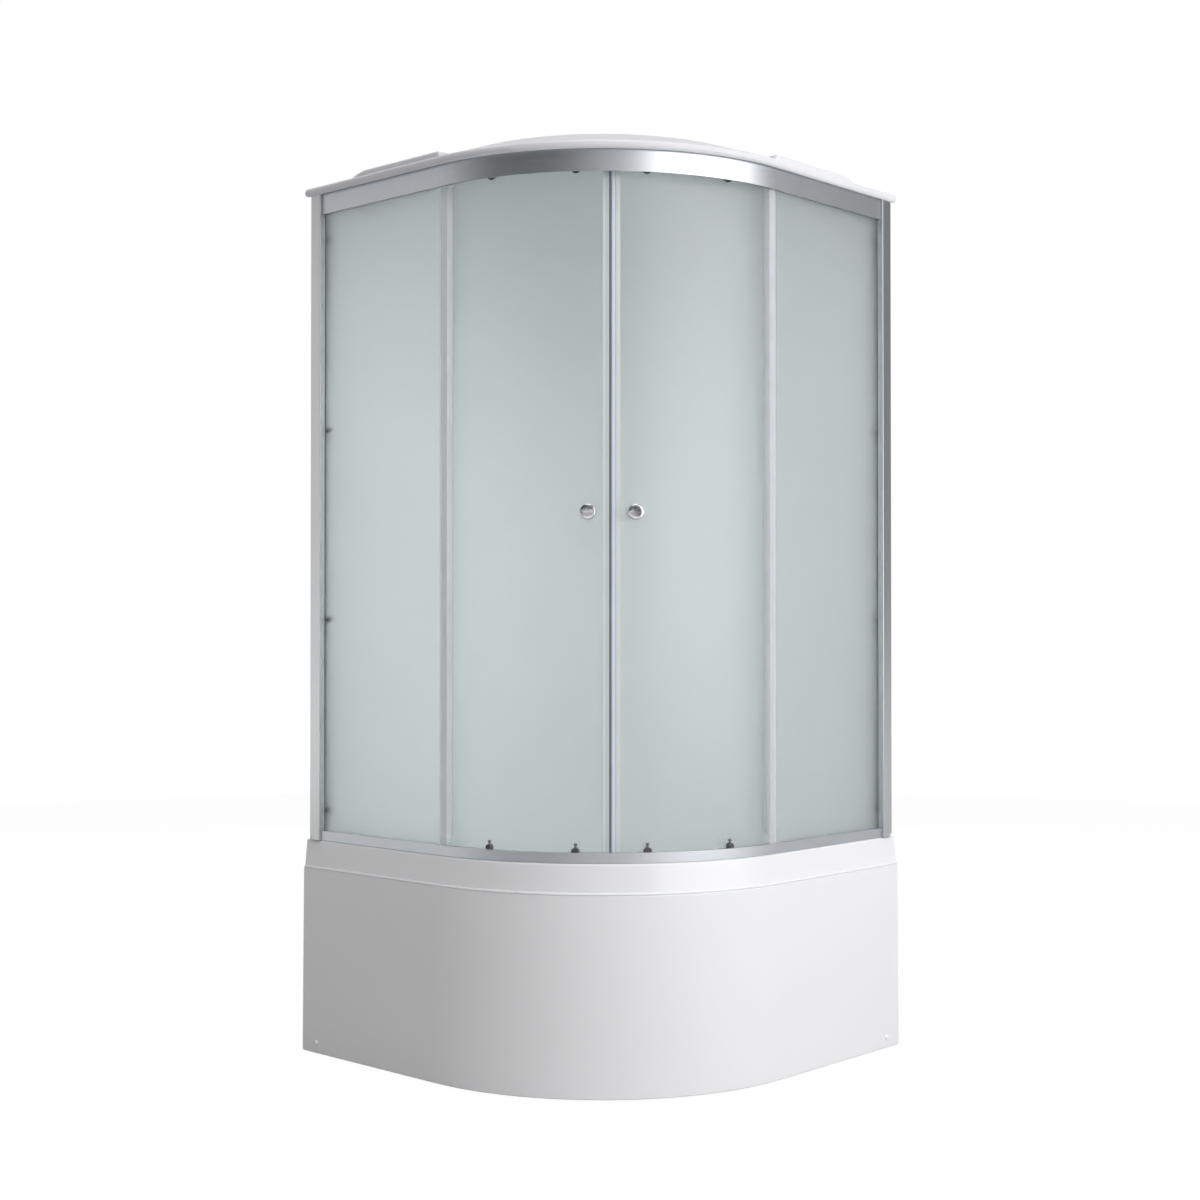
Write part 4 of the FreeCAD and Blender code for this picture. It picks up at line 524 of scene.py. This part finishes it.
@dataclass
class Enclosure:
    """Rails, posts, fixed panes and back walls. Lengths are in millimetres."""

    rails: tuple[str, ...] = ("top_rail", "bottom_rail")
    posts: tuple[str, ...] = ("left_post", "right_post", "corner_profile")
    walls: tuple[str, ...] = ("left_wall_panel", "rear_wall_panel")
    screws: tuple[str, ...] = ("rail_screws", "wall_screws")
    stud_along: float = 447.0
    stud_aside: float = 466.6
    stud_heights: tuple[float, ...] = (569.0, 1014.5, 1460.0, 1906.5)
    stud_steps: tuple[Step, ...] = (
        (3.0, -1.0), (3.0, 0.6), (6.0, 0.8), (6.0, 14.6), (5.2, 15.6), (2.2, 16.4),
    )
    stud_sides: int = 6
    stud_smooth: float = 40.0

    def build_studs(self, hand: Hand, wardrobe: Wardrobe) -> None:
        """Raise a six-sided screw head that shows through the pane beside a post, and copy it up the post.

        Args:
            hand: Side of the post.
            wardrobe: Source of the materials.
        """
        first, *others = self.stud_heights
        if hand is Hand.LEFT:
            point, ahead = Vector((-self.stud_along, -self.stud_aside, first)), Vector((1.0, 0.0, 0.0))
        else:
            point, ahead = Vector((self.stud_aside, self.stud_along, first)), Vector((0.0, -1.0, 0.0))
        studs = raise_piece(hand.node("post_studs"), Form.ROUND, self.stud_steps, sides=self.stud_sides)
        settle(studs, place_at(point * MM, UP.cross(ahead), UP, ahead), self.stud_smooth)
        for height in others:
            twin = studs.copy()
            twin.data = studs.data.copy()
            twin.data.transform(Matrix.Translation(UP * (height - first) * MM))
            bpy.context.collection.objects.link(twin)
            twin.select_set(True)
        bpy.ops.object.join()
        wardrobe.wear(studs, DARK_PLASTIC)
        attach(studs, "enclosure")

    def dress(self, wardrobe: Wardrobe) -> None:
        """Put the enclosure's finishes on and build the studs of its posts.

        Args:
            wardrobe: Source of the materials.
        """
        wardrobe.dress(RAIL_ALUMINIUM, *self.rails)
        wardrobe.dress(POST_ALUMINIUM, *self.posts)
        wardrobe.dress(WHITE_ACRYLIC, *self.walls)
        wardrobe.dress(ZINC_STEEL, *self.screws)
        wardrobe.dress(WHITE_PLASTIC, "rail_end_blocks")
        wardrobe.dress(GREY_RUBBER, "door_stops")
        for hand in Hand:
            wardrobe.dress(FROSTED_GLASS, hand.node("fixed_glass"))
            wardrobe.dress(MILKY_SEAL, hand.node("fixed_seal"))
            wardrobe.dress(CLEAR_GASKET, hand.node("glazing_gaskets"))
            self.build_studs(hand, wardrobe)


@dataclass
class Roof:
    """Moulded roof and its screws."""

    shell: str = "roof"
    screws: str = "roof_screws"

    def dress(self, wardrobe: Wardrobe) -> None:
        """Put the roof's finishes on.

        Args:
            wardrobe: Source of the materials.
        """
        # The roof's lower tone is painted shade on the tray's white acrylic.
        wardrobe.dress(SHADED_ROOF_ACRYLIC, self.shell)
        wardrobe.dress(ZINC_STEEL, self.screws)


@dataclass
class Door:
    """One curved sliding door with its knob, seals, carriages and pins.

    Lengths are in millimetres and angles in degrees from the meeting line.
    """

    hand: Hand
    glass_outer: float = 491.5
    glass: float = 5.0
    seat_gap: float = 0.2
    lead_angle: float = 1.6
    knob_angle: float = 5.83
    knob_height: float = 1243.0
    knob_sides: int = 96
    seal_low: float = 512.0
    seal_high: float = 1987.0
    seal_half: float = 4.2
    seal_slim: float = 3.2
    seal_slot: float = 2.7
    seal_nose: float = 0.4
    seal_round: float = 0.5
    seal_shoulder: float = 0.05
    seal_edge: float = 0.125
    seal_root: float = 13.4
    seal_end: float = 18.7
    dark_strip: float = 5.4
    pale_bar: float = 8.2
    groove: float = 0.9
    dome_flat: float = 0.68
    dome_sides: int = 48
    dome_steps: tuple[Step, ...] = (
        (9.3, 521.0), (9.3, 523.0), (9.0, 524.8), (8.3, 526.3), (7.1, 527.8), (5.6, 528.8), (5.0, 528.8),
        (5.0, 521.0), (9.3, 521.0),
    )
    button_sides: int = 32
    button_steps: tuple[Step, ...] = (
        (2.6, 534.2), (3.4, 534.5), (3.5, 535.0), (3.5, 538.6), (3.1, 539.3), (1.5, 539.6),
    )
    knob_inner: tuple[Step, ...] = (
        (8.0, -18.0), (13.2, -17.9), (14.3, -17.4), (14.9, -16.6), (15.0, -15.6), (15.0, -8.9), (14.6, -8.2),
        (9.8, -6.4), (9.0, -5.6), (9.0, 0.0), (4.0, 0.0),
    )
    knob_outer: tuple[Step, ...] = (
        (4.0, 0.2), (9.0, 0.2), (9.0, 5.2), (9.5, 6.0), (12.8, 6.9), (16.0, 7.6), (16.7, 8.1), (17.0, 8.9),
        (17.0, 18.7), (16.85, 19.5), (16.4, 20.2), (15.7, 20.95), (14.8, 21.45), (13.5, 21.65), (10.0, 21.81),
        (7.0, 21.91), (4.0, 21.97), (1.5, 22.0),
    )
    turned_smooth: float = 40.0
    seal_smooth: float = 25.0

    def place(self, angle: float, reach: float, height: float) -> tuple[Vector, Vector, Vector]:
        """Point on the bend, with the directions out of it and away from the meeting line.

        Args:
            angle: Degrees from the meeting line.
            reach: Distance from the bend's axis.
            height: Height over the floor.

        Returns:
            The point, the outward direction and the direction away from the meeting line.
        """
        turn = math.radians(angle)
        aside = TO_RIGHT * self.hand.value
        outward = TO_CAMERA * math.cos(turn) + aside * math.sin(turn)
        along = aside * math.cos(turn) - TO_CAMERA * math.sin(turn)
        return BEND_AXIS + outward * reach * MM + UP * height * MM, outward, along

    def knob_profile(self) -> list[Step]:
        """Radius and height of the turned knob, from its inner face to its outer face."""
        inside = -self.glass - self.seat_gap
        return [(radius, inside + height) for radius, height in self.knob_inner] + list(self.knob_outer)

    def build_knob(self, wardrobe: Wardrobe) -> None:
        """Turn the knob, with a slightly domed face, and put it through the glass.

        Args:
            wardrobe: Source of the materials.
        """
        name = self.hand.node("turned_knob")
        piece = raise_piece(name, Form.ROUND, self.knob_profile(), sides=self.knob_sides)
        point, outward, along = self.place(self.knob_angle, self.glass_outer, self.knob_height)
        settle(piece, place_at(point, along, UP, outward), self.turned_smooth)
        wardrobe.wear(piece, CHROME)
        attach(piece, self.hand.node("door"))
        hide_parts(self.hand.node("knob"))

    def seal_steps(self) -> list[Step]:
        """Half depth of the meeting seal against the distance from the meeting line.

        Returns:
            The steps, from the nose to the root.
        """
        nose, full, slim = self.seal_nose, self.seal_half, self.seal_slim
        if self.hand is Hand.LEFT:
            return [(slim - self.seal_round, nose), (slim, nose + self.seal_round), (slim, self.dark_strip),
                    (full - self.seal_round, self.dark_strip + self.seal_shoulder),
                    (full, self.dark_strip + self.seal_round),
                    (full, self.seal_root)]
        blunt = self.seal_round * 2
        late = self.pale_bar + self.groove
        return [(full - blunt, nose), (full, nose + blunt),
                (full, self.pale_bar - self.seal_round), (full - self.seal_round, self.pale_bar),
                (slim, self.pale_bar + self.seal_shoulder), (slim, late),
                (full - self.seal_round, late + self.seal_shoulder), (full, late + self.seal_round),
                (full, self.seal_root)]

    def seal_finish(self, distance: float) -> int:
        """Material slot of a face of the seal.

        Args:
            distance: How far the face's centre is from the meeting line.

        Returns:
            0 for the clear flange, 1 for the strip at the meeting line, 2 for the part between.
        """
        first, last = self.dark_strip, self.seal_root
        if self.hand is Hand.RIGHT:
            first, last = self.pale_bar, self.pale_bar + self.groove
        if distance < first - self.seal_edge:
            return 1
        return 2 if distance < last else 0

    def build_seal(self, wardrobe: Wardrobe) -> None:
        """Raise the meeting seal away from the meeting line, and draw its two legs over the glass.

        Args:
            wardrobe: Source of the materials.
        """
        tall = self.seal_high - self.seal_low
        piece = raise_piece(self.hand.node("meeting_seal"), Form.FLAT, self.seal_steps(), across=tall)
        bpy.ops.object.mode_set(mode="EDIT")
        # Two cuts part the root into a leg on either side and the slot that takes the glass.
        for side in (-1, 1):
            bpy.ops.mesh.select_all(action="SELECT")
            bpy.ops.mesh.bisect(plane_co=(side * self.seal_slot, 0, 0), plane_no=(1, 0, 0))
        bpy.ops.object.mode_set(mode="OBJECT")
        pick_faces(piece, lambda centre: centre.z > self.seal_root - self.seat_gap
                   and abs(centre.x) > self.seal_slot)
        leg = self.seal_end - self.seal_root
        bpy.ops.mesh.extrude_region_move(TRANSFORM_OT_translate={"value": (0, 0, leg)})
        bpy.ops.object.mode_set(mode="OBJECT")
        if self.hand is Hand.LEFT:
            wardrobe.wear(piece, FLANGE_SEAL, DARK_SEAL, GREY_SEAL)
        else:
            wardrobe.wear(piece, FLANGE_SEAL, PALE_SEAL, GROOVE_SEAL)
        for face in piece.data.polygons:
            face.material_index = self.seal_finish(face.center.z)
        middle = self.glass_outer - self.glass / 2
        point, outward, along = self.place(self.lead_angle, middle, (self.seal_low + self.seal_high) / 2)
        point = point - along * middle * MM * math.sin(math.radians(self.lead_angle))
        settle(piece, place_at(point, outward, UP, along), self.seal_smooth)
        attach(piece, self.hand.node("door"))
        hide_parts(self.hand.node("magnet_seal"))

    def build_release(self, spot: str, wardrobe: Wardrobe) -> None:
        """Put a wide dome round a bottom carriage and a button on its release pin.

        Args:
            spot: Which of the door's two carriages.
            wardrobe: Source of the materials.
        """
        pin = self.hand.node(f"{spot}_release_pin")
        # The middle of the pin's crown gives the axis on which dome and button stand.
        corners = [corner.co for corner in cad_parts[pin].data.vertices]
        top = max(corner.z for corner in corners)
        crown = [corner for corner in corners if top - corner.z < self.seat_gap * MM]
        axis = sum(crown, Vector()) / len(crown)
        axis.z = 0.0
        outward = (axis - BEND_AXIS).normalized()
        along = UP.cross(outward)
        name = self.hand.node(f"{spot}_dome")
        dome = raise_piece(name, Form.RING, self.dome_steps, sides=self.dome_sides)
        settle(dome, place_at(axis, outward * self.dome_flat, along, UP), self.turned_smooth)
        wardrobe.wear(dome, DARK_PLASTIC)
        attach(dome, self.hand.node("door"))
        name = self.hand.node(f"{spot}_button")
        button = raise_piece(name, Form.ROUND, self.button_steps, sides=self.button_sides)
        settle(button, place_at(axis, outward, along, UP), self.turned_smooth)
        wardrobe.wear(button, PIN_STEEL)
        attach(button, pin)

    def dress(self, wardrobe: Wardrobe) -> None:
        """Put the finishes on the door's nodes and build its own pieces.

        Args:
            wardrobe: Source of the materials.
        """
        wardrobe.dress(FROSTED_GLASS, self.hand.node("door_glass"))
        wardrobe.dress(CLEAR_SEAL, self.hand.node("tail_seal"))
        wardrobe.dress(DARK_PLASTIC, self.hand.node("top_carriages"), self.hand.node("bottom_carriages"))
        for spot in SPOTS:
            wardrobe.dress(PIN_STEEL, self.hand.node(f"{spot}_release_pin"))
            wardrobe.dress(NYLON, self.hand.node(f"{spot}_top_wheel"), self.hand.node(f"{spot}_bottom_wheel"))
            self.build_release(spot, wardrobe)
        self.build_knob(wardrobe)
        self.build_seal(wardrobe)


@dataclass(frozen=True)
class Lamp:
    """Soft rectangular lamp. Lengths are in metres and the power in watts."""

    name: str
    place: Point
    aim: Point
    size: Span
    power: float

    def hang(self) -> None:
        """Add the lamp to the scene, unseen by the camera."""
        data = bpy.data.lights.new(self.name, "AREA")
        data.shape = "RECTANGLE"
        data.size, data.size_y = self.size
        data.energy = self.power
        lamp = bpy.data.objects.new(self.name, data)
        lamp.location = self.place
        lamp.rotation_euler = (Vector(self.aim) - Vector(self.place)).to_track_quat("-Z", "Y").to_euler()
        lamp.visible_camera = False
        bpy.context.scene.collection.objects.link(lamp)


@dataclass
class Studio:
    """Floor, light and camera.

    Lengths are in metres and angles in degrees, but the focal length and the sensor are in millimetres.
    """

    camera_place: Point = (2.92147, -3.18291, 1.00862)
    yaw: float = 2.3692
    pitch: float = 0.7011
    focal: float = 54.70
    sensor: float = 36.0
    view_depth: float = 100.0
    ambient: float = 0.12
    front_gloss: float = 0.10
    front_span: Span = (-0.5, 0.3)
    side_gloss: Span = (1.0, 0.38)
    floor_side: float = 40.0
    floor_tone: float = 0.58
    floor_share: float = 0.93
    floor_mirror: float = 0.05
    floor_glow: float = 1.045
    floor_fade: Span = (1.5, 7.0)
    lamps: tuple[Lamp, ...] = (
        Lamp("key", (4.0, 0.2, 2.1), (0.0, 0.0, 1.2), (4.0, 3.3), 130.0),
        Lamp("top", (1.5, -1.5, 8.0), (0.3, -0.3, 0.5), (5.0, 5.0), 275.0),
        Lamp("left", (-2.0, -3.0, 1.4), (0.0, 0.0, 1.2), (2.0, 2.4), 9.0),
        Lamp("front_low", (3.39, -3.39, 0.85), (0.0, 0.0, 0.85), (2.6, 1.3), 4.5),
        Lamp("front_high", (3.64, -3.14, 3.1), (0.0, 0.0, 2.0), (2.6, 1.8), 7.0),
        Lamp("strip", (2.9, -3.6, 1.56), (0.0, 0.0, 1.25), (3.0, 0.07), 2.0),
        Lamp("back", (-3.2, 3.2, 1.6), (0.0, 0.0, 1.0), (3.0, 2.5), 60.0),
    )

    def world(self) -> None:
        """White background with soft light from all round and a dim side in front."""
        world = bpy.data.worlds.new("studio")
        bpy.context.scene.world = world
        world.use_nodes = True
        world.node_tree.nodes.clear()
        graph = Graph(world.node_tree)
        # Rays from the camera or through glass meet plain white, and mirrored rays the dimmed sides.
        path = graph.add("LightPath").outputs
        clear = graph.combine("MAXIMUM", path["Is Camera Ray"], path["Is Transmission Ray"])
        where = graph.add("TexCoord").outputs["Generated"]
        mirror = graph.ramp(graph.lean(where, TO_CAMERA), self.front_span, (1.0, self.front_gloss))
        sided = graph.ramp(graph.lean(where, TO_RIGHT), (-1.0, 1.0), self.side_gloss)
        gloss = graph.combine("MULTIPLY", mirror, sided)
        soft = graph.blend(path["Is Glossy Ray"], self.ambient, gloss)
        strength = graph.blend(clear, soft, 1.0)
        light = graph.add("Background")
        light.inputs["Color"].default_value = (1.0, 1.0, 1.0, 1.0)
        graph.link(strength, light.inputs["Strength"])
        out = graph.add("OutputWorld")
        graph.link(light.outputs[0], out.inputs["Surface"])

    def floor(self) -> None:
        """Pale floor that keeps a soft shadow and fades into the background."""
        bpy.ops.object.select_all(action="DESELECT")
        bpy.ops.mesh.primitive_plane_add(size=self.floor_side)
        plane = bpy.context.object
        plane.name = "studio_floor"
        made = bpy.data.materials.new("studio_floor")
        made.use_nodes = True
        made.node_tree.nodes.clear()
        graph = Graph(made.node_tree)
        # Rays from the camera meet glow with a little of the painted shadow, mirrored and refracted rays
        # mostly paint, and far out all of these meet only glow.
        path = graph.add("LightPath").outputs
        bent = graph.combine("MAXIMUM", path["Is Glossy Ray"], path["Is Transmission Ray"])
        faint = graph.combine("MULTIPLY", bent, self.floor_mirror)
        seen = graph.combine("MULTIPLY_ADD", path["Is Camera Ray"], self.floor_share, faint)
        far = graph.add("VectorMath", operation="LENGTH")
        graph.link(graph.add("TexCoord").outputs["Object"], far.inputs[0])
        fade = graph.ramp(far.outputs["Value"], self.floor_fade, (0.0, 1.0))
        shown = graph.combine("MAXIMUM", path["Is Camera Ray"], bent)
        share = graph.combine("MAXIMUM", seen, graph.combine("MULTIPLY", fade, shown))
        paint = graph.add("BsdfDiffuse")
        paint.inputs["Color"].default_value = (self.floor_tone, self.floor_tone, self.floor_tone, 1.0)
        glow = graph.add("Emission", Strength=self.floor_glow)
        mix = graph.add("MixShader")
        graph.link(share, mix.inputs["Fac"])
        graph.link(paint.outputs[0], mix.inputs[1])
        graph.link(glow.outputs[0], mix.inputs[2])
        out = graph.add("OutputMaterial")
        graph.link(mix.outputs[0], out.inputs["Surface"])
        plane.data.materials.append(made)

    def camera(self) -> None:
        """Camera at the photograph's place and angle."""
        yaw, pitch = math.radians(self.yaw), math.radians(self.pitch)
        level = TO_RIGHT * math.sin(yaw) - TO_CAMERA * math.cos(yaw)
        ahead = level * math.cos(pitch) + UP * math.sin(pitch)
        data = bpy.data.cameras.new("camera")
        data.sensor_width = self.sensor
        data.lens = self.focal
        data.clip_end = self.view_depth
        camera = bpy.data.objects.new("camera", data)
        camera.location = self.camera_place
        camera.rotation_euler = ahead.to_track_quat("-Z", "Y").to_euler()
        bpy.context.scene.collection.objects.link(camera)
        bpy.context.scene.camera = camera

    def build(self) -> None:
        """Set up the whole studio."""
        bpy.context.scene.view_settings.view_transform = "Standard"
        self.world()
        self.floor()
        self.camera()
        for lamp in self.lamps:
            lamp.hang()


def main() -> None:
    """Build and dress the shower cabin and its studio."""
    logging.basicConfig(level=logging.INFO, format="%(message)s")
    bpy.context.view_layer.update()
    wardrobe = Wardrobe()
    Tray().dress(wardrobe)
    Enclosure().dress(wardrobe)
    Roof().dress(wardrobe)
    for hand in Hand:
        Door(hand).dress(wardrobe)
    Studio().build()


if __name__ == "__main__":
    main()
